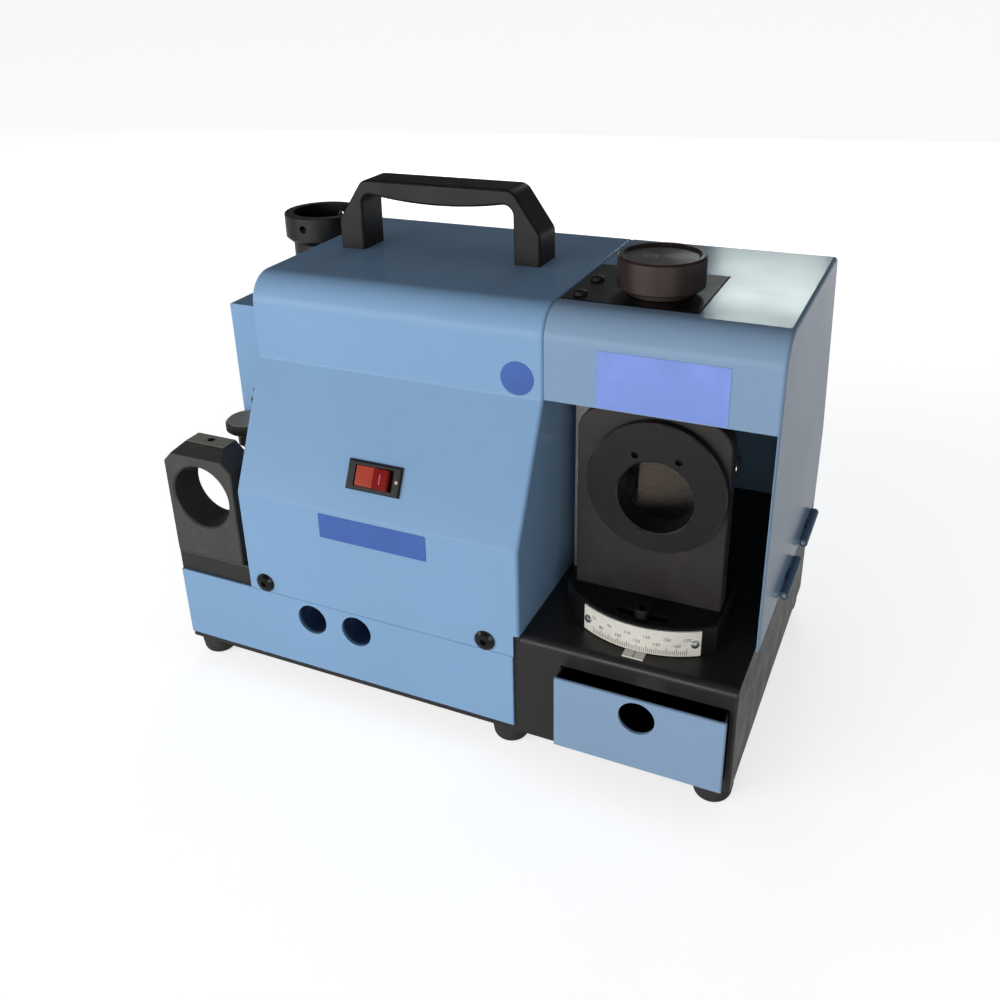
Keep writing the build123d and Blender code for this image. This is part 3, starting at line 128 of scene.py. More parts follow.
def colour(name, description, default):
    return FloatVectorProperty(
        name=name, description=description, default=default, subtype="COLOR", min=0.0, max=1.0, size=3
    )


def length(name, description, default):
    return FloatProperty(name=name, description=description, default=default, unit="LENGTH", precision=5)


def number(name, description, default):
    return FloatProperty(name=name, description=description, default=default)


def power(name, description, default):
    return FloatProperty(name=name, description=description, default=default, subtype="POWER")


def whole_number(name, description, default):
    return IntProperty(name=name, description=description, default=default, min=1)


def heading(name, description, default):
    return FloatVectorProperty(name=name, description=description, default=default, subtype="DIRECTION")


class GRINDER_PG_finishes(bpy.types.PropertyGroup):
    """Colours of the machine's finishes."""

    enamel_blue: colour("Enamel blue", "Gloss enamel on the folded covers", (0.212, 0.354, 0.548))
    # A darker, greyer copy of the cover enamel, painted shade on the wheel hood and drawer front
    enamel_shaded_grey_blue: colour("Enamel grey blue", "Wheel hood and drawer front", (0.212, 0.315, 0.455))
    enamel_black: colour("Enamel black", "Satin enamel on the base", (0.018, 0.0165, 0.016))
    oxide_black: colour("Oxide black", "Blackened ring, table, gauge and fasteners", (0.0070, 0.0062, 0.0062))
    oxide_grey: colour("Oxide grey", "Thinly blackened upright plate and bracket", (0.024, 0.0205, 0.020))
    # The block's and stop knob's paler tops are painted light, tinted up from this grey
    block_grey: colour("Block grey", "Milled block and stop knob, rubbed", (0.052, 0.050, 0.0475))
    knob_brown: colour("Knob brown", "Blackened feed knob", (0.030, 0.020, 0.0175))
    bright_steel: colour("Bright steel", "Machined shaft, nuts and pins", (0.56, 0.56, 0.55))
    cast_grey: colour("Cast grey", "Bare cast alloy of the upright", (0.52, 0.53, 0.52))
    plate_white: colour("Plate white", "Printed scale and pointer", (0.63, 0.61, 0.545))
    ink: colour("Ink", "Scale marks and numbers", (0.02, 0.02, 0.022))
    # These colour a pale stroke on the rocker's right half and a cream spot at the switch's right end, laid on as
    # thin plates
    mark_cream: colour("Mark cream", "On mark of the switch", (0.62, 0.50, 0.34))
    mark_rose: colour("Mark rose", "Stroke on the rocker", (0.50, 0.11, 0.12))
    plastic_black: colour("Plastic black", "Handle, switch housing and inlet", (0.0110, 0.0096, 0.0088))
    rocker_red: colour("Rocker red", "Switch rocker", (0.19, 0.004, 0.0045))
    # Paler colour painted on the rocker's left half as painted light
    rocker_painted_light: colour("Rocker pale", "Switch rocker where its moulding is thin", (0.36, 0.050, 0.028))
    rubber_black: colour("Rubber black", "Feet", (0.012, 0.012, 0.0125))
    grit_brown: colour("Grit brown", "Abrasive wheels", (0.15, 0.12, 0.095))
    label_blue: colour("Label blue", "Blank name plate and disc", (0.058, 0.122, 0.375))
    label_pale: colour("Label pale", "Blank data plate", (0.20, 0.29, 0.68))


class GRINDER_PG_labels(bpy.types.PropertyGroup):
    """Sizes and places of the blank plates."""

    name_width: length("Name plate width", "Blank plate on the hood's lower front", 81.5 * MM)
    name_height: length("Name plate height", "Blank plate on the hood's lower front", 18.5 * MM)
    name_across: length("Name plate across", "From the hood's left end to its middle", 107.8 * MM)
    name_rise: length("Name plate rise", "From the hood's lower edge to its middle", 66.6 * MM)
    disc_diameter: length("Disc diameter", "Blank disc on the hood's brow", 22.2 * MM)
    disc_across: length("Disc across", "From the hood's left end to its middle", 195.9 * MM)
    disc_rise: length("Disc rise", "From the hood's lower edge to its middle", 176.1 * MM)
    data_width: length("Data plate width", "Blank plate on the wheel hood", 78.9 * MM)
    data_height: length("Data plate height", "Blank plate on the wheel hood", 36.0 * MM)
    data_across: length("Data plate across", "From the wheel hood's left end to its middle", 73.2 * MM)
    data_rise: length("Data plate rise", "From the main hood's lower edge to its middle", 183.3 * MM)
    corner_round: length("Corner round", "Corner radius of the blank plates", 0.8 * MM)
    thickness: length("Plate thickness", "Thickness of every blank plate", 0.35 * MM)


class GRINDER_PG_scale(bpy.types.PropertyGroup):
    """The angle scale on the swivel."""

    tick_count: whole_number("Ticks", "Number of graduations", 51)
    tick_step: FloatProperty(
        name="Step", description="Angle between graduations", default=math.radians(1.0), subtype="ANGLE"
    )
    long_every: whole_number("Long every", "Every so many graduations is a long one", 5)
    tick_width: length("Tick width", "Width of a graduation", 0.35 * MM)
    short_tick: length("Short tick", "Height of a short graduation", 3.0 * MM)
    long_tick: length("Long tick", "Height of a long graduation", 4.6 * MM)
    tick_rise: length("Tick rise", "From the plate's lower edge to the graduations", 0.9 * MM)
    ink_depth: length("Ink depth", "Thickness of the graduations and numbers", 0.08 * MM)
    first_number: whole_number("First number", "Number at the left end", 70)
    number_step: whole_number("Number step", "Step from one number to the next", 10)
    number_size: length("Number size", "Font size of the numbers", 3.24 * MM)
    upper_row: length("Upper row", "From the plate's lower edge to the upper numbers", 10.9 * MM)
    lower_row: length("Lower row", "From the plate's lower edge to the lower numbers", 6.6 * MM)
    index_width: length("Index width", "Width of the pointer's line", 0.5 * MM)


class GRINDER_PG_details(bpy.types.PropertyGroup):
    """Small repeated details."""

    ridge_count: whole_number("Ridges", "Grip ridges round the stop knob", 72)
    ridge_width: length("Ridge width", "Side of one grip ridge", 0.9 * MM)
    rim_foot: length("Rim foot", "From the stop knob's lower end to its ridges", 3.0 * MM)
    rim_edge: length("Rim edge", "From the ridges to the stop knob's top", 1.5 * MM)
    stroke_width: length("Stroke width", "Width of the rocker's stroke", 0.9 * MM)
    stroke_height: length("Stroke height", "Height of the rocker's stroke", 6.5 * MM)
    spot_diameter: length("Spot diameter", "On mark of the switch", 2.2 * MM)
    spot_across: length("Spot across", "From the switch's middle to its on mark", 17.2 * MM)


class GRINDER_PG_stage(bpy.types.PropertyGroup):
    """Floor, light and camera."""

    floor_colour: colour("Floor", "Pale floor", (0.86, 0.86, 0.86))
    floor_glow: number("Floor glow", "Paleness of the floor as seen by the machine", 0.66)
    far_glow: number("Far glow", "Paleness of the floor as seen far off", 0.80)
    glow_start: length("Glow start", "Reach of the floor's paleness by the machine", 0.5)
    glow_end: length("Glow end", "Distance at which the floor is as pale as far off", 2.5)
    mirrored: number("Mirrored", "Share of the paleness that reflections show", 0.4)
    key_power: power("Key", "Soft light from the front left", 36.0)
    side_power: power("Side", "Soft light from the front right", 13.0)
    back_power: power("Back", "Soft light from behind", 24.0)
    panel_power: power("Back panel", "Pale panel behind", 1.7)
    panel_colour: colour("Panel colour", "Pale panel behind", (0.89, 1.0, 0.95))
    fill: number("Fill", "Light from all round", 0.17)
    wall_colour: colour("Wall", "Studio wall", (0.98, 0.985, 1.0))
    wall_glow: number("Wall glow", "Paleness of the studio wall as seen", 0.83)
    wall_top: number("Wall top", "Rise at which reflections of the wall start to dim", 0.05)
    ceiling_start: number("Ceiling start", "Rise from which reflections show the ceiling", 0.24)
    ceiling_glow: number("Ceiling glow", "Paleness of the ceiling in reflections", 0.05)
    lens: number("Lens", "Focal length in millimetres on a 36 mm sensor", 37.33)
    camera_shift: FloatVectorProperty(
        name="Camera shift", description="Shift of the picture", default=(0.0216, -0.0706), size=2
    )
    camera_spot: FloatVectorProperty(
        name="Camera spot",
        description="Place of the camera",
        default=(0.2857, -0.6193, 0.4969),
        unit="LENGTH",
    )
    camera_forward: heading("Camera forward", "Way the camera looks", (-0.4005, 0.8127, -0.4233))
    camera_up: heading("Camera up", "Way that is up in the picture", (-0.1575, 0.3940, 0.9055))


SETTINGS = (
    ("grinder_finishes", GRINDER_PG_finishes),
    ("grinder_labels", GRINDER_PG_labels),
    ("grinder_scale", GRINDER_PG_scale),
    ("grinder_details", GRINDER_PG_details),
    ("grinder_stage", GRINDER_PG_stage),
)


# Finishes


def start_finish(name):
    """A new material with only its shader and output."""
    material = bpy.data.materials.new(name)
    material.use_nodes = True
    tree = material.node_tree
    shader = next(node for node in tree.nodes if node.type == "BSDF_PRINCIPLED")
    return material, tree, shader


def add(tree, kind, inputs=None, **values):
    """Adds a node, sets its values and its input defaults by socket name or number."""
    node = tree.nodes.new(kind)
    for key, value in values.items():
        setattr(node, key, value)
    for key, value in (inputs or {}).items():
        if isinstance(value, bpy.types.NodeSocket):
            tree.links.new(value, node.inputs[key])
        else:
            node.inputs[key].default_value = value
    return node


def maths(tree, operation, first, second=0.0):
    return add(tree, "ShaderNodeMath", {0: first, 1: second}, operation=operation).outputs[0]


def vectors(tree, operation, first, second=(0.0, 0.0, 0.0)):
    return add(tree, "ShaderNodeVectorMath", {0: first, 1: second}, operation=operation).outputs


def along(tree, where, axis):
    """One coordinate, X, Y or Z, of a place."""
    return add(tree, "ShaderNodeSeparateXYZ", {0: where}).outputs[axis]


def place(tree, centre=(0, 0, 0), stretch=(1, 1, 1)):
    """Object coordinates measured from a centre."""
    where = add(tree, "ShaderNodeTexCoord").outputs["Object"]
    shift = vectors(tree, "SUBTRACT", where, tuple(centre))[0]
    return vectors(tree, "MULTIPLY", shift, stretch)[0]


def cloud(tree, where, scale, detail=4.0, roughness=0.55):
    inputs = {"Vector": where, "Scale": scale, "Detail": detail, "Roughness": roughness}
    return add(tree, "ShaderNodeTexNoise", inputs).outputs["Fac"]


def spread(tree, value, span, onto=(0.0, 1.0)):
    """Stretches a value from one range onto another, held at its ends."""
    inputs = {"Value": value, "From Min": span[0], "From Max": span[1], "To Min": onto[0], "To Max": onto[1]}
    return add(tree, "ShaderNodeMapRange", inputs, clamp=True).outputs["Result"]


def blend_colours(tree, share, first, second):
    node = add(tree, "ShaderNodeMix", {"Factor": share}, data_type="RGBA")
    for socket, value in ((node.inputs[6], first), (node.inputs[7], second)):
        if isinstance(value, bpy.types.NodeSocket):
            tree.links.new(value, socket)
        else:
            socket.default_value = (*value, 1.0)
    return node.outputs[2]


def tinted(rgb, tint):
    return tuple(min(1.0, channel * factor) for channel, factor in zip(rgb, tint))


def shaded(rgb, factor):
    return tinted(rgb, (factor, factor, factor))


def roughen(tree, shader, height, strength, distance):
    bump = add(tree, "ShaderNodeBump", {"Height": height, "Strength": strength, "Distance": distance})
    tree.links.new(bump.outputs["Normal"], shader.inputs["Normal"])


def gloss_enamel(name, rgb, painted_shade_from=None):
    """Sprayed enamel on sheet, with slight orange peel and handling smears.

    Behind a depth, if given, it darkens into painted shade inside the sleeves.
    """
    material, tree, shader = start_finish(name)
    where = place(tree)
    tone = spread(tree, cloud(tree, where, 7.0), (0.3, 0.7))
    body = blend_colours(tree, tone, shaded(rgb, 0.97), shaded(rgb, 1.03))
    if painted_shade_from is not None:
        # Painted shade: the enamel darkens to navy deep in the tool holes
        dark = spread(tree, along(tree, where, "Y"), (painted_shade_from, painted_shade_from + HOLE_SHADE_FADE))
        body = blend_colours(tree, dark, body, tinted(rgb, (0.10, 0.12, 0.20)))
    tree.links.new(body, shader.inputs["Base Color"])
    smear = spread(tree, cloud(tree, where, 18.0, 5.0, 0.6), (0.3, 0.75), (0.13, 0.20))
    tree.links.new(smear, shader.inputs["Roughness"])
    shader.inputs["Specular IOR Level"].default_value = 0.08
    roughen(tree, shader, cloud(tree, where, 750.0, 1.0), 0.04, 0.0004)
    return material


def satin_enamel(name, rgb):
    """Thicker satin enamel with scuffs that show a little paler."""
    material, tree, shader = start_finish(name)
    where = place(tree)
    drag = place(tree, stretch=(0.25, 1.0, 1.6))
    scuff = spread(tree, cloud(tree, drag, 90.0, 6.0, 0.7), (0.56, 0.78), (0.0, 0.5))
    tree.links.new(blend_colours(tree, scuff, rgb, shaded(rgb, 2.0)), shader.inputs["Base Color"])
    shader.inputs["Specular IOR Level"].default_value = 0.32
    dull = spread(tree, cloud(tree, where, 60.0, 5.0), (0.3, 0.7), (0.30, 0.46))
    tree.links.new(dull, shader.inputs["Roughness"])
    roughen(tree, shader, cloud(tree, where, 520.0, 3.0), 0.12, 0.0004)
    return material


def reach_from(tree, centre, axis):
    """Distance from a line through a centre along one of the axes."""
    flatten = [1.0, 1.0, 1.0]
    flatten[axis] = 0.0
    return vectors(tree, "LENGTH", place(tree, centre, flatten))["Value"]


def oxide_steel(name, rgb, axis=UPRIGHT, turned_about=None, worn_lit_edges=(), gloss=0.40, painted_light_above=None):
    """Black-oxide steel. Turned faces show fine rings, and round edges, each a centre and radius, are worn and
    carry a painted highlight.

    What lies above a height, if given, is painted paler as painted light on the top faces.
    """
    material, tree, shader = start_finish(name)
    where = place(tree)
    rub = spread(tree, cloud(tree, where, 70.0, 7.0, 0.7), (0.50, 0.75), (0.0, 0.6))
    body = blend_colours(tree, rub, rgb, shaded(rgb, 1.6))
    if painted_light_above is not None:
        # Painted light: the top faces are lightened to stand in for the light they catch
        top = spread(tree, along(tree, where, "Z"), (painted_light_above, painted_light_above + LIT_TOP_FADE))
        body = blend_colours(tree, top, body, tinted(rgb, (7.0, 6.65, 5.6)))
    patchy = spread(tree, cloud(tree, where, 120.0, 4.0), (0.35, 0.65), (0.2, 1.0))
    # Rims are painted paler, part wear and part painted highlight of edges catching light
    for centre, radius in worn_lit_edges:
        off_rim = maths(tree, "SUBTRACT", reach_from(tree, centre, axis), radius)
        rim = spread(tree, maths(tree, "ABSOLUTE", off_rim), (RIM_CORE, RIM_FADE), (1.0, 0.0))
        worn = maths(tree, "MULTIPLY", rim, patchy)
        body = blend_colours(tree, worn, body, shaded(rgb, 8.0))
    tree.links.new(body, shader.inputs["Base Color"])
    dull = spread(tree, cloud(tree, where, 40.0, 5.0), (0.3, 0.7), (gloss - 0.06, gloss + 0.06))
    tree.links.new(dull, shader.inputs["Roughness"])
    shader.inputs["Metallic"].default_value = 0.2
    shader.inputs["Specular IOR Level"].default_value = 0.3
    height = cloud(tree, where, 900.0, 2.0)
    if turned_about is not None:
        ring_pitch = 0.75 * MM
        turns = maths(tree, "MULTIPLY", reach_from(tree, turned_about, axis), 2 * math.pi / ring_pitch)
        height = maths(tree, "ADD", height, maths(tree, "SINE", turns))
    roughen(tree, shader, height, 0.10, 0.0003)
    return material


def machined_steel(name, rgb):
    material, tree, shader = start_finish(name)
    where = place(tree)
    stain = spread(tree, cloud(tree, where, 55.0, 6.0), (0.5, 0.8), (0.0, 0.5))
    tree.links.new(blend_colours(tree, stain, rgb, shaded(rgb, 0.55)), shader.inputs["Base Color"])
    shader.inputs["Metallic"].default_value = 1.0
    drag = place(tree, stretch=(1.0, 0.05, 0.05))
    dull = spread(tree, cloud(tree, drag, 1500.0, 2.0), (0.3, 0.7), (0.24, 0.38))
    tree.links.new(dull, shader.inputs["Roughness"])
    roughen(tree, shader, cloud(tree, drag, 2200.0, 1.0), 0.06, 0.0002)
    return material


def cast_alloy(name, rgb):
    """Bare casting with a pebbled skin."""
    material, tree, shader = start_finish(name)
    where = place(tree)
    tone = spread(tree, cloud(tree, where, 45.0, 6.0), (0.3, 0.7))
    body = blend_colours(tree, tone, shaded(rgb, 0.85), shaded(rgb, 1.1))
    tree.links.new(body, shader.inputs["Base Color"])
    shader.inputs["Metallic"].default_value = 0.45
    shader.inputs["Roughness"].default_value = 0.52
    roughen(tree, shader, cloud(tree, where, 380.0, 5.0), 0.35, 0.0006)
    return material


def moulded_plastic(name, rgb, roughness, grain):
    material, tree, shader = start_finish(name)
    where = place(tree)
    tone = spread(tree, cloud(tree, where, 80.0, 5.0), (0.4, 0.7), (0.0, 0.5))
    tree.links.new(blend_colours(tree, tone, rgb, shaded(rgb, 1.4)), shader.inputs["Base Color"])
    shader.inputs["Specular IOR Level"].default_value = 0.20
    wear = spread(tree, cloud(tree, where, 30.0, 4.0), (0.3, 0.7), (roughness - 0.08, roughness + 0.08))
    tree.links.new(wear, shader.inputs["Roughness"])
    roughen(tree, shader, cloud(tree, where, 1100.0, 2.0), grain, 0.0003)
    return material


def half_lit_plastic(name, deep, pale, split):
    """Glossy plastic whose half left of the split is painted paler as painted light."""
    material, tree, shader = start_finish(name)
    where = place(tree)
    blur = 0.4 * MM
    # Painted light: the left half takes the pale colour
    unlit_share = spread(tree, along(tree, where, "X"), (split - blur, split + blur))
    body = blend_colours(tree, unlit_share, pale, deep)
    worn = spread(tree, cloud(tree, where, 90.0, 4.0), (0.4, 0.8), (0.0, 0.3))
    tree.links.new(blend_colours(tree, worn, body, shaded(deep, 0.6)), shader.inputs["Base Color"])
    dull = spread(tree, cloud(tree, where, 60.0, 4.0), (0.3, 0.7), (0.10, 0.18))
    tree.links.new(dull, shader.inputs["Roughness"])
    shader.inputs["Specular IOR Level"].default_value = 0.2
    roughen(tree, shader, cloud(tree, where, 1100.0, 2.0), 0.02, 0.0003)
    return material


def soft_rubber(name, rgb):
    material, tree, shader = start_finish(name)
    where = place(tree)
    dust = spread(tree, cloud(tree, where, 160.0, 6.0), (0.45, 0.8), (0.0, 0.7))
    tree.links.new(blend_colours(tree, dust, rgb, shaded(rgb, 3.0)), shader.inputs["Base Color"])
    shader.inputs["Roughness"].default_value = 0.78
    roughen(tree, shader, cloud(tree, where, 700.0, 3.0), 0.2, 0.0004)
    return material


def abrasive_grit(name, rgb):
    material, tree, shader = start_finish(name)
    where = place(tree)
    grain = add(tree, "ShaderNodeTexVoronoi", {"Vector": where, "Scale": 1400.0}).outputs["Distance"]
    body = blend_colours(tree, grain, shaded(rgb, 1.5), shaded(rgb, 0.45))
    tree.links.new(body, shader.inputs["Base Color"])
    shader.inputs["Roughness"].default_value = 0.85
    roughen(tree, shader, grain, 0.8, 0.0005)
    return material


def printed_white(name, rgb):
    material, tree, shader = start_finish(name)
    where = place(tree)
    stain = spread(tree, cloud(tree, where, 110.0, 6.0), (0.5, 0.85), (0.0, 0.5))
    tree.links.new(blend_colours(tree, stain, rgb, shaded(rgb, 0.72)), shader.inputs["Base Color"])
    shader.inputs["Roughness"].default_value = 0.38
    roughen(tree, shader, cloud(tree, where, 900.0, 1.0), 0.03, 0.0002)
    return material


def vinyl_label(name, rgb):
    material, tree, shader = start_finish(name)
    where = place(tree)
    tone = spread(tree, cloud(tree, where, 35.0, 4.0), (0.35, 0.7))
    body = blend_colours(tree, tone, shaded(rgb, 0.94), shaded(rgb, 1.08))
    tree.links.new(body, shader.inputs["Base Color"])
    shader.inputs["Roughness"].default_value = 0.32
    shader.inputs["Specular IOR Level"].default_value = 0.18
    roughen(tree, shader, cloud(tree, where, 600.0, 1.0), 0.03, 0.0002)
    return material


def ink_print(name, rgb, fading=4.0):
    """Print that has faded to a paler tone in places."""
    material, tree, shader = start_finish(name)
    fade = spread(tree, cloud(tree, place(tree), 300.0, 3.0), (0.5, 0.8), (0.0, 0.5))
    body = blend_colours(tree, fade, shaded(rgb, 0.9), shaded(rgb, fading))
    tree.links.new(body, shader.inputs["Base Color"])
    shader.inputs["Roughness"].default_value = 0.55
    return material


def clad(material, *nodes):
    """Gives pieces their only material."""
    for name in nodes:
        mesh = frame["nodes"][name].data
        mesh.materials.clear()
        mesh.materials.append(material)


# Shapes


def settle(obj, body):
    """Hands a finished piece, placed in its own mesh, to the body it moves with."""
    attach(obj, body)
    return obj


def new_piece(name, mesh, material=None):
    obj = bpy.data.objects.new(name, mesh)
    bpy.context.scene.collection.objects.link(obj)
    if material is not None:
        mesh.materials.clear()
        mesh.materials.append(material)
    return obj


def raised_plate(name, outline, origin, right, up, thickness, material):
    """A thin closed plate from an outline, standing on a face whose right and up directions are given."""
    outward = right.cross(up)
    shape = bmesh.new()
    low = [shape.verts.new(origin + right * x + up * y) for x, y in outline]
    high = [shape.verts.new(vert.co + outward * thickness) for vert in low]
    shape.faces.new(high)
    shape.faces.new(list(reversed(low)))
    for i in range(len(low)):
        j = (i + 1) % len(low)
        shape.faces.new((low[i], low[j], high[j], high[i]))
    mesh = bpy.data.meshes.new(name)
    shape.to_mesh(mesh)
    shape.free()
    return new_piece(name, mesh, material)


def rounded_outline(width, height, radius, steps=6):
    points = []
    for cx, cy, start in ((1, 1, 0), (-1, 1, 90), (-1, -1, 180), (1, -1, 270)):
        for i in range(steps + 1):
            angle = math.radians(start + 90 * i / steps)
            x = cx * (width / 2 - radius) + radius * math.cos(angle)
            y = cy * (height / 2 - radius) + radius * math.sin(angle)
            points.append((x, y))
    return points


def disc_outline(diameter, steps=48):
    turns = [2 * math.pi * i / steps for i in range(steps)]
    return [(diameter / 2 * math.cos(turn), diameter / 2 * math.sin(turn)) for turn in turns]


def flat_face(node, towards):
    """Middle and direction of the large flat face of a piece that looks most nearly one way."""
    flats = {}
    for face in frame["nodes"][node].data.polygons:
        level = face.normal.dot(face.center) / MM
        key = (*(round(part, 2) for part in face.normal), round(level, 1))
        flats.setdefault(key, []).append(face)
    areas = {key: sum(face.area for face in faces) for key, faces in flats.items()}
    large_area = 0.04 * sum(areas.values())
    large = [key for key in flats if areas[key] > large_area]
    best = max(large, key=lambda key: Vector(key[:3]).dot(towards))
    centre = sum((face.center * face.area for face in flats[best]), Vector()) / areas[best]
    return centre, flats[best][0].normal.copy()


# Node trees for what repeats


class Recipe:
    """A geometry node tree under construction, with named inputs."""

    def __init__(self, name):
        self.tree = bpy.data.node_groups.new(name, "GeometryNodeTree")
        self.tree.interface.new_socket(name="Geometry", in_out="OUTPUT", socket_type="NodeSocketGeometry")
        self.entry = self.tree.nodes.new("NodeGroupInput")
        self.exit = self.tree.nodes.new("NodeGroupOutput")
        self.settings = {}

    def ask(self, name, kind, value):
        """Declares a named input and remembers the value it is to have."""
        socket = self.tree.interface.new_socket(name=name, in_out="INPUT", socket_type="NodeSocket" + kind)
        self.settings[socket.identifier] = value
        return self.entry.outputs[name]

    def node(self, kind, inputs=None, **values):
        return add(self.tree, kind, inputs, **values)

    def maths(self, operation, first, second=0.0):
        return maths(self.tree, operation, first, second)

    def vector(self, x, y, z):
        return self.node("ShaderNodeCombineXYZ", {"X": x, "Y": y, "Z": z}).outputs[0]

    def close(self, instances, material):
        """Ends the tree with real geometry that carries its material."""
        solid = self.node("GeometryNodeRealizeInstances", {"Geometry": instances})
        inputs = {"Geometry": solid.outputs["Geometry"], "Material": material}
        clad_solid = self.node("GeometryNodeSetMaterial", inputs)
        self.tree.links.new(clad_solid.outputs["Geometry"], self.exit.inputs["Geometry"])

    def grow(self, name):
        """Evaluates the tree once and returns its result as a plain piece."""
        seed = new_piece(name, bpy.data.meshes.new(name + "_seed"))
        modifier = seed.modifiers.new("recipe", "NODES")
        modifier.node_group = self.tree
        for identifier, value in self.settings.items():
            modifier[identifier] = value
        seed.update_tag()
        bpy.context.view_layer.update()
        graph = bpy.context.evaluated_depsgraph_get()
        mesh = bpy.data.meshes.new_from_object(seed.evaluated_get(graph), depsgraph=graph)
        if len(mesh.polygons) == 0:
            raise RuntimeError(name + " came out empty")
        seed.modifiers.remove(modifier)
        seed.data = mesh
        mesh.name = name
        return seed


def graduation_recipe(scale, axis, radius, bottom, ink):
    """Short and long graduations round the curved face of the scale."""
    make = Recipe("graduations")
    count = make.ask("Count", "Int", scale.tick_count)
    step = make.ask("Step", "Float", scale.tick_step)
    every = make.ask("Long every", "Int", scale.long_every)
    width = make.ask("Width", "Float", scale.tick_width)
    depth = make.ask("Depth", "Float", scale.ink_depth)
    short = make.ask("Short", "Float", scale.short_tick)
    long = make.ask("Long", "Float", scale.long_tick)
    reach = make.ask("Radius", "Float", radius)
    base = make.ask("Bottom", "Float", bottom)
    centre = make.ask("Axis", "Vector", axis)
    material = make.ask("Material", "Material", ink)
    row = make.node("GeometryNodeMeshLine", {"Count": count}, mode="OFFSET")
    index = make.node("GeometryNodeInputIndex").outputs[0]
    half = make.maths("MULTIPLY", make.maths("SUBTRACT", count, 1.0), 0.5)
    turn = make.maths("MULTIPLY", make.maths("SUBTRACT", index, half), step)
    is_long = make.maths("LESS_THAN", make.maths("MODULO", index, every), 0.5)
    extra = make.maths("MULTIPLY", is_long, make.maths("SUBTRACT", long, short))
    height = make.maths("ADD", short, extra)
    x = make.maths("MULTIPLY", reach, make.maths("SINE", turn))
    y = make.maths("MULTIPLY", make.maths("MULTIPLY", reach, make.maths("COSINE", turn)), -1.0)
    z = make.maths("ADD", base, make.maths("MULTIPLY", height, 0.5))
    spot = vectors(make.tree, "ADD", make.vector(x, y, z), centre)[0]
    points = make.node("GeometryNodeSetPosition", {"Geometry": row.outputs[0], "Position": spot})
    bar = make.node("GeometryNodeMeshCube", {"Size": make.vector(width, depth, 1.0)})
    marks = make.node(
        "GeometryNodeInstanceOnPoints",
        {
            "Points": points.outputs[0],
            "Instance": bar.outputs["Mesh"],
            "Rotation": make.vector(0.0, 0.0, turn),
            "Scale": make.vector(1.0, 1.0, height),
        },
    )
    make.close(marks.outputs[0], material)
    return make


def ridge_recipe(details, centre, radius, height, steel):
    """Upright grip ridges round a knob's rim."""
    make = Recipe("grip_ridges")
    count = make.ask("Count", "Int", details.ridge_count)
    width = make.ask("Width", "Float", details.ridge_width)
    tall = make.ask("Height", "Float", height)
    reach = make.ask("Radius", "Float", radius)
    where = make.ask("Centre", "Vector", centre)
    material = make.ask("Material", "Material", steel)
    hoop = make.node("GeometryNodeMeshCircle", {"Vertices": count, "Radius": reach})
    points = make.node("GeometryNodeSetPosition", {"Geometry": hoop.outputs[0], "Offset": where})
    index = make.node("GeometryNodeInputIndex").outputs[0]
    turn = make.maths("DIVIDE", make.maths("MULTIPLY", index, 2 * math.pi), count)
    edge_outwards = math.radians(45)
    ridge = make.node("GeometryNodeMeshCube", {"Size": make.vector(width, width, tall)})
    ridges = make.node(
        "GeometryNodeInstanceOnPoints",
        {
            "Points": points.outputs[0],
            "Instance": ridge.outputs["Mesh"],
            "Rotation": make.vector(0.0, 0.0, make.maths("ADD", turn, edge_outwards)),
        },
    )
    make.close(ridges.outputs[0], material)
    return make


# Operators, one for each piece or group of like pieces


class GRINDER_OT_enamel_covers(bpy.types.Operator):
    """Spray the folded covers, the panel, the drawer front and the hinges"""

    bl_idname = "grinder.enamel_covers"
    bl_label = "Enamel covers"

    def execute(self, context):
        rgb = context.scene.grinder_finishes.enamel_blue
        clad(gloss_enamel("blue_gloss_enamel", rgb), "main_hood", "side_guard")
        # Painted shade: the wheel hood and drawer front take a darker, greyer copy of the cover enamel
        shaded_grey_blue = context.scene.grinder_finishes.enamel_shaded_grey_blue
        clad(gloss_enamel("grey_blue_gloss_enamel", shaded_grey_blue), "wheel_hood", "drawer_front")
        # Painted shade deep in the panel's tool holes
        hole_shade_from = corner("front_panel", 0).y + HOLE_SHADE_START
        clad(gloss_enamel("blue_panel_enamel", rgb, hole_shade_from), "front_panel")
        # Painted shade: the hinges get the cover enamel darkened to under half
        hinge_enamel_painted_shade = gloss_enamel("shaded_blue_hinge_enamel", shaded(rgb, 0.45))
        clad(hinge_enamel_painted_shade, "hinge_hood_knuckles", "hinge_base_knuckles")
        return {"FINISHED"}


class GRINDER_OT_enamel_base(bpy.types.Operator):
    """Paint the base, the drawer box and the motor's castings"""

    bl_idname = "grinder.enamel_base"
    bl_label = "Enamel base"

    def execute(self, context):
        rgb = context.scene.grinder_finishes.enamel_black
        painted = ("base_box", "drawer_box", "motor_housing", "motor_end_bells")
        clad(satin_enamel("black_satin_enamel", rgb), *painted)
        return {"FINISHED"}


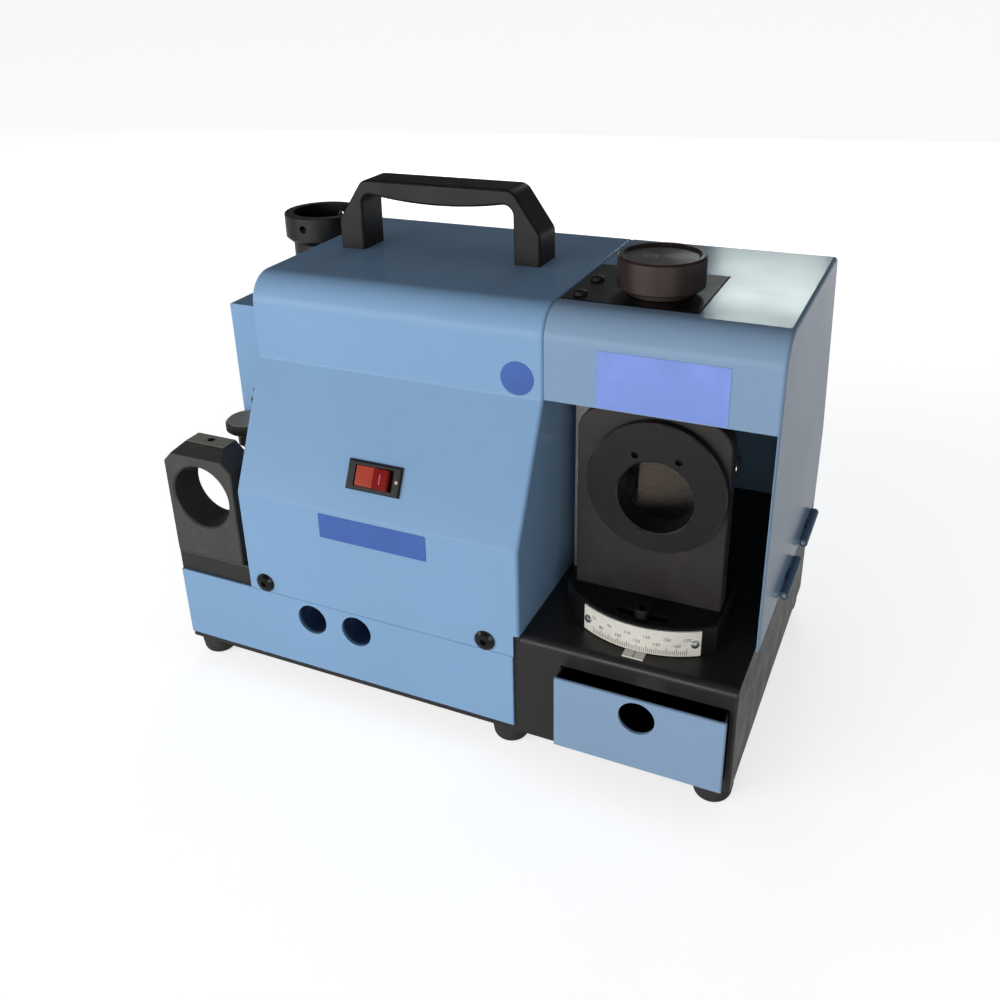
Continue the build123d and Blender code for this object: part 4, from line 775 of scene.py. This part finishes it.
class GRINDER_OT_blacken_steel(bpy.types.Operator):
    """Blacken the swivel, ring, gauge, block, knobs and fasteners"""

    bl_idname = "grinder.blacken_steel"
    bl_label = "Blacken steel"

    def execute(self, context):
        finishes = context.scene.grinder_finishes
        black = finishes.oxide_black
        grey = finishes.block_grey
        dark = ("gauge_post", "top_plate", "swivel_base")
        worn = ("thinning_arm", "swivel_plate")
        fasteners = (
            "lock_screw", "block_grub_screw", "plate_screws", "block_bolts", "gauge_bolt",
            "handle_bolts", "plate_bolts", "frame_bolts", "motor_bolts", "arm_screws",
        )
        clad(oxide_steel("oxide_dark", black), *dark, *fasteners)
        clad(oxide_steel("oxide_worn", finishes.oxide_grey), *worn)
        clad(oxide_steel("oxide_polished", black, gloss=0.20), "hood_screws")
        # Painted light on the block's top face
        block_lit_top = corner("thinning_block", 1).z - LIT_TOP_DEPTH
        clad(oxide_steel("oxide_milled_block", grey, painted_light_above=block_lit_top), "thinning_block")
        cup = middle("gauge_cup")
        cup_edges = (bore_edge("gauge_port"), outer_edge("gauge_cup"))
        clad(oxide_steel("oxide_turned_cup", black, UPRIGHT, cup, cup_edges), "gauge_cup")
        ring = middle("guide_ring")
        ring_edges = (bore_edge("chuck_port"), outer_edge("guide_ring"))
        clad(oxide_steel("oxide_turned_ring", black, FRONT_TO_BACK, ring, ring_edges), "guide_ring")
        knob = middle("feed_knob")
        clad(oxide_steel("oxide_turned_knob", finishes.knob_brown, UPRIGHT, knob, gloss=0.30), "feed_knob")
        stop = middle("stop_knob")
        # Painted light on the stop knob's top face
        stop_lit_top = corner("stop_knob", 1).z - LIT_TOP_DEPTH
        clad(oxide_steel("oxide_turned_stop", grey, UPRIGHT, stop, painted_light_above=stop_lit_top), "stop_knob")
        return {"FINISHED"}


class GRINDER_OT_brighten_steel(bpy.types.Operator):
    """Finish the shaft, pins, nuts and bearings in bright steel and the upright as cast"""

    bl_idname = "grinder.brighten_steel"
    bl_label = "Brighten steel"

    def execute(self, context):
        finishes = context.scene.grinder_finishes
        bright = (
            "stop_spindle", "feed_spindle", "hinge_pins", "swivel_pivot", "scale_screws", "motor_bearings",
            "motor_shaft", "thinning_flange", "thinning_nut", "wheel_flange", "wheel_nut", "foot_screws",
            "stator_core", "rotor_core",
        )
        clad(machined_steel("bright_machined_steel", finishes.bright_steel), *bright)
        clad(cast_alloy("grey_casting", finishes.cast_grey), "head_frame")
        return {"FINISHED"}


class GRINDER_OT_mould_plastics(bpy.types.Operator):
    """Finish the handle, switch, inlet and feet"""

    bl_idname = "grinder.mould_plastics"
    bl_label = "Mould plastics"

    def execute(self, context):
        finishes = context.scene.grinder_finishes
        grained = moulded_plastic("black_grained_plastic", finishes.plastic_black, roughness=0.46, grain=0.10)
        clad(grained, "carry_handle")
        smooth = moulded_plastic("black_smooth_plastic", finishes.plastic_black, roughness=0.34, grain=0.03)
        clad(smooth, "switch_housing", "mains_inlet")
        halfway = middle("switch_rocker").x
        red = half_lit_plastic("red_rocker_plastic", finishes.rocker_red, finishes.rocker_painted_light, halfway)
        clad(red, "switch_rocker")
        clad(soft_rubber("black_foot_rubber", finishes.rubber_black), "rubber_feet")
        return {"FINISHED"}


class GRINDER_OT_bond_wheels(bpy.types.Operator):
    """Give both wheels their abrasive grit"""

    bl_idname = "grinder.bond_wheels"
    bl_label = "Bond wheels"

    def execute(self, context):
        rgb = context.scene.grinder_finishes.grit_brown
        clad(abrasive_grit("bonded_grit", rgb), "grinding_wheel", "thinning_wheel")
        return {"FINISHED"}


class GRINDER_OT_mark_scale(bpy.types.Operator):
    """Whiten the scale and its pointer, and print the graduations and numbers"""

    bl_idname = "grinder.mark_scale"
    bl_label = "Mark scale"

    def execute(self, context):
        finishes = context.scene.grinder_finishes
        scale = context.scene.grinder_scale
        clad(printed_white("white_printed_plate", finishes.plate_white), "scale_plate", "pointer_plate")
        ink = ink_print("scale_ink", finishes.ink)
        axis = joint_place("swivel_turn")
        radius = axis.y - corner("scale_plate", 0).y
        bottom = corner("scale_plate", 0).z + scale.tick_rise
        axis_on_floor = Vector((axis.x, axis.y, 0.0))
        ticks = graduation_recipe(scale, axis_on_floor, radius, bottom, ink).grow("scale_graduations")
        settle(ticks, "swivel")
        settle(self.numbers(scale, axis, radius, ink), "swivel")
        settle(self.index_line(scale, ink), "base")
        return {"FINISHED"}

    def numbers(self, scale, axis, radius, ink):
        """Numbers over the long graduations, in two rows by turns, bent round the curved face."""
        shape = bmesh.new()
        count = (scale.tick_count - 1) // scale.long_every + 1
        rows = (scale.upper_row, scale.lower_row)
        for i in range(count):
            line_z = corner("scale_plate", 0).z + rows[i % 2]
            turn = (i - (count - 1) / 2) * scale.long_every * scale.tick_step
            flat = bpy.data.curves.new("number", "FONT")
            flat.body = str(scale.first_number + i * scale.number_step)
            flat.size = scale.number_size
            flat.align_x = "CENTER"
            flat.extrude = scale.ink_depth / 2
            flat.resolution_u = 3
            holder = new_piece("number_pattern", flat)
            bpy.context.view_layer.update()
            graph = bpy.context.evaluated_depsgraph_get()
            mesh = bpy.data.meshes.new_from_object(holder.evaluated_get(graph), depsgraph=graph)
            for vert in mesh.vertices:
                angle = turn + vert.co.x / radius
                reach = radius + vert.co.z
                around = Vector((reach * math.sin(angle), -reach * math.cos(angle), 0.0))
                vert.co = Vector((axis.x, axis.y, line_z + vert.co.y)) + around
            shape.from_mesh(mesh)
            bpy.data.objects.remove(holder)
            bpy.data.curves.remove(flat)
            bpy.data.meshes.remove(mesh)
        mesh = bpy.data.meshes.new("scale_numbers")
        shape.to_mesh(mesh)
        shape.free()
        return new_piece("scale_numbers", mesh, ink)

    def index_line(self, scale, ink):
        """The pointer's index line."""
        low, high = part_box("pointer_plate")
        origin = Vector(((low.x + high.x) / 2, (low.y + high.y) / 2, high.z))
        depth = (high.y - low.y) * INDEX_SHARE
        outline = rounded_outline(scale.index_width, depth, scale.index_width / 10, 2)
        right = Vector((1, 0, 0))
        up = Vector((0, 1, 0))
        return raised_plate("pointer_line", outline, origin, right, up, MARK_DEPTH, ink)


class GRINDER_OT_mark_switch(bpy.types.Operator):
    """Put a pale stroke on the rocker's right half and a cream spot at the switch's right end"""

    bl_idname = "grinder.mark_switch"
    bl_label = "Mark switch"

    def execute(self, context):
        finishes = context.scene.grinder_finishes
        details = context.scene.grinder_details
        # A pale stroke on the rocker's right half
        rose = ink_print("rose_stroke", finishes.mark_rose, fading=1.0)
        outline = rounded_outline(details.stroke_width, details.stroke_height, 0.2 * MM, 3)
        right_half = flat_face("switch_rocker", Vector((-0.2, -0.9, 0.4)).normalized())
        settle(self.place_mark("rocker_stroke", outline, right_half, 0.0, rose), "rocker")
        # A cream spot at the right end of the switch
        cream = ink_print("cream_spot", finishes.mark_cream, fading=1.0)
        outline = disc_outline(details.spot_diameter, 24)
        bezel = flat_face("switch_housing", Vector((0.0, -0.9, 0.44)).normalized())
        settle(self.place_mark("switch_end_spot", outline, bezel, details.spot_across, cream), "base")
        return {"FINISHED"}

    def place_mark(self, name, outline, face, across, material):
        """A thin pale mark on a flat face, given by its middle and direction, and moved across to the right."""
        centre, outward = face
        up = outward.cross(Vector((1, 0, 0))).normalized()
        right = up.cross(outward)
        return raised_plate(name, outline, centre + right * across, right, up, MARK_DEPTH, material)


class GRINDER_OT_fix_labels(bpy.types.Operator):
    """Fix the blank name plate, disc and data plate"""

    bl_idname = "grinder.fix_labels"
    bl_label = "Fix blank labels"

    def execute(self, context):
        finishes = context.scene.grinder_finishes
        labels = context.scene.grinder_labels
        deep = vinyl_label("deep_blue_label", finishes.label_blue)
        pale = vinyl_label("pale_blue_label", finishes.label_pale)
        hood = corner("main_hood", 0)
        wheel_hood = corner("wheel_hood", 0)
        spot = Vector((hood.x + labels.name_across, hood.y, hood.z + labels.name_rise))
        outline = rounded_outline(labels.name_width, labels.name_height, labels.corner_round)
        settle(self.label("blank_name_plate", outline, spot, labels, deep), "base")
        spot = Vector((hood.x + labels.disc_across, wheel_hood.y, hood.z + labels.disc_rise))
        outline = disc_outline(labels.disc_diameter)
        settle(self.label("blank_disc", outline, spot, labels, deep), "base")
        spot = Vector((wheel_hood.x + labels.data_across, wheel_hood.y, hood.z + labels.data_rise))
        outline = rounded_outline(labels.data_width, labels.data_height, labels.corner_round)
        settle(self.label("blank_data_plate", outline, spot, labels, pale), "wheel_hood")
        return {"FINISHED"}

    def label(self, name, outline, spot, labels, material):
        """A blank plate that faces the front."""
        right = Vector((1, 0, 0))
        up = Vector((0, 0, 1))
        return raised_plate(name, outline, spot, right, up, labels.thickness, material)


class GRINDER_OT_ridge_stop_knob(bpy.types.Operator):
    """Ridge the rim of the stop knob for grip"""

    bl_idname = "grinder.ridge_stop_knob"
    bl_label = "Ridge stop knob"

    def execute(self, context):
        details = context.scene.grinder_details
        low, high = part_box("stop_knob")
        steel = bpy.data.materials["oxide_turned_stop"]
        sunk = 0.35 * details.ridge_width
        radius = (high.x - low.x) / 2 - sunk
        rim_low = low.z + details.rim_foot
        rim_high = high.z - details.rim_edge
        centre = Vector(((low.x + high.x) / 2, (low.y + high.y) / 2, (rim_low + rim_high) / 2))
        ridges = ridge_recipe(details, centre, radius, rim_high - rim_low, steel).grow("stop_knob_ridges")
        settle(ridges, "stop_knob")
        return {"FINISHED"}


class GRINDER_OT_set_stage(bpy.types.Operator):
    """Lay the floor, set the lights and aim the camera"""

    bl_idname = "grinder.set_stage"
    bl_label = "Set stage"

    def execute(self, context):
        stage = context.scene.grinder_stage
        self.floor(stage)
        self.world(stage)
        self.lamp("key_softbox", stage.key_power)
        self.lamp("side_softbox", stage.side_power)
        back = self.lamp("back_softbox", stage.back_power)
        back.visible_glossy = False
        panel = self.lamp("back_panel", stage.panel_power)
        panel.data.color = stage.panel_colour
        self.camera(stage)
        context.scene.view_settings.view_transform = "Standard"
        return {"FINISHED"}

    def floor(self, stage):
        shape = bmesh.new()
        bmesh.ops.create_grid(shape, x_segments=2, y_segments=2, size=FLOOR_REACH)
        mesh = bpy.data.meshes.new("floor")
        shape.to_mesh(mesh)
        shape.free()
        material = bpy.data.materials.new("pale_floor")
        material.use_nodes = True
        tree = material.node_tree
        tree.nodes.clear()
        matt = add(tree, "ShaderNodeBsdfDiffuse", {"Color": (*stage.floor_colour, 1.0)})
        away = vectors(tree, "LENGTH", place(tree))["Value"]
        reach = (stage.glow_start, stage.glow_end)
        paleness = spread(tree, away, reach, (stage.floor_glow, stage.far_glow))
        image = maths(tree, "MULTIPLY", paleness, stage.mirrored)
        glow = add(tree, "ShaderNodeEmission", {"Strength": self.seen(tree, paleness, image)})
        both = add(tree, "ShaderNodeAddShader", {0: matt.outputs[0], 1: glow.outputs[0]})
        add(tree, "ShaderNodeOutputMaterial", {"Surface": both.outputs[0]})
        new_piece("floor", mesh, material)

    def seen(self, tree, direct, image):
        """One strength for what is seen straight or through glass, another for its reflection."""
        path = add(tree, "ShaderNodeLightPath").outputs
        straight = maths(tree, "MAXIMUM", path["Is Camera Ray"], path["Is Transmission Ray"])
        shown = maths(tree, "MULTIPLY", straight, direct)
        reflected = maths(tree, "MULTIPLY", path["Is Glossy Ray"], image)
        return maths(tree, "ADD", shown, reflected)

    def world(self, stage):
        """Pale walls all round under a dim ceiling, with a weak even light."""
        world = bpy.data.worlds.new("studio")
        world.use_nodes = True
        tree = world.node_tree
        background = next(node for node in tree.nodes if node.type == "BACKGROUND")
        background.inputs["Color"].default_value = (*stage.wall_colour, 1.0)
        towards = add(tree, "ShaderNodeTexCoord").outputs["Generated"]
        rise = along(tree, towards, "Z")
        dimming = (stage.wall_top, stage.ceiling_start)
        walls = spread(tree, rise, dimming, (stage.mirrored, stage.ceiling_glow))
        lift = self.seen(tree, stage.wall_glow, walls)
        glossy = add(tree, "ShaderNodeLightPath").outputs["Is Glossy Ray"]
        even = maths(tree, "MULTIPLY", maths(tree, "SUBTRACT", 1.0, glossy), stage.fill)
        tree.links.new(maths(tree, "ADD", lift, even), background.inputs["Strength"])
        bpy.context.scene.world = world

    def lamp(self, name, watts):
        """A rectangular soft light at its spot, turned to its target."""
        spot, target, size = LIGHTS[name]
        light = bpy.data.lights.new(name, "AREA")
        light.shape = "RECTANGLE"
        light.size, light.size_y = size
        light.energy = watts
        obj = bpy.data.objects.new(name, light)
        bpy.context.scene.collection.objects.link(obj)
        obj.location = spot
        aim = Vector(target) - Vector(spot)
        obj.rotation_euler = aim.to_track_quat("-Z", "Y").to_euler()
        return obj

    def camera(self, stage):
        """The camera stands where it shows the machine from above its right front corner."""
        camera = bpy.data.cameras.new("camera")
        camera.lens = stage.lens
        camera.sensor_width = SENSOR_WIDTH
        camera.clip_end = CAMERA_REACH
        camera.shift_x, camera.shift_y = stage.camera_shift
        obj = bpy.data.objects.new("camera", camera)
        bpy.context.scene.collection.objects.link(obj)
        forward = Vector(stage.camera_forward).normalized()
        right = forward.cross(Vector(stage.camera_up)).normalized()
        up = right.cross(forward)
        turn = Matrix((right, up, -forward)).transposed().to_4x4()
        obj.matrix_world = Matrix.Translation(stage.camera_spot) @ turn
        bpy.context.scene.camera = obj


OPERATORS = (
    GRINDER_OT_enamel_covers,
    GRINDER_OT_enamel_base,
    GRINDER_OT_blacken_steel,
    GRINDER_OT_brighten_steel,
    GRINDER_OT_mould_plastics,
    GRINDER_OT_bond_wheels,
    GRINDER_OT_mark_scale,
    GRINDER_OT_mark_switch,
    GRINDER_OT_fix_labels,
    GRINDER_OT_ridge_stop_knob,
    GRINDER_OT_set_stage,
)


class GRINDER_PT_panel(bpy.types.Panel):
    """Settings and steps of the drill bit grinder"""

    bl_label = "Drill Bit Grinder"
    bl_idname = "GRINDER_PT_panel"
    bl_space_type = "VIEW_3D"
    bl_region_type = "UI"
    bl_category = "Grinder"

    def draw(self, context):
        for name, group in SETTINGS:
            box = self.layout.box()
            box.label(text=group.__doc__)
            for key in group.__annotations__:
                box.prop(getattr(context.scene, name), key)
        for operator in OPERATORS:
            self.layout.operator(operator.bl_idname)


def register():
    for name, group in SETTINGS:
        bpy.utils.register_class(group)
        setattr(bpy.types.Scene, name, PointerProperty(type=group))
    for operator in OPERATORS:
        bpy.utils.register_class(operator)
    bpy.utils.register_class(GRINDER_PT_panel)


def unregister():
    bpy.utils.unregister_class(GRINDER_PT_panel)
    for operator in reversed(OPERATORS):
        bpy.utils.unregister_class(operator)
    for name, group in reversed(SETTINGS):
        delattr(bpy.types.Scene, name)
        bpy.utils.unregister_class(group)


def main():
    register()
    for operator in OPERATORS:
        group, name = operator.bl_idname.split(".")
        getattr(getattr(bpy.ops, group), name)()


if __name__ == "__main__":
    main()
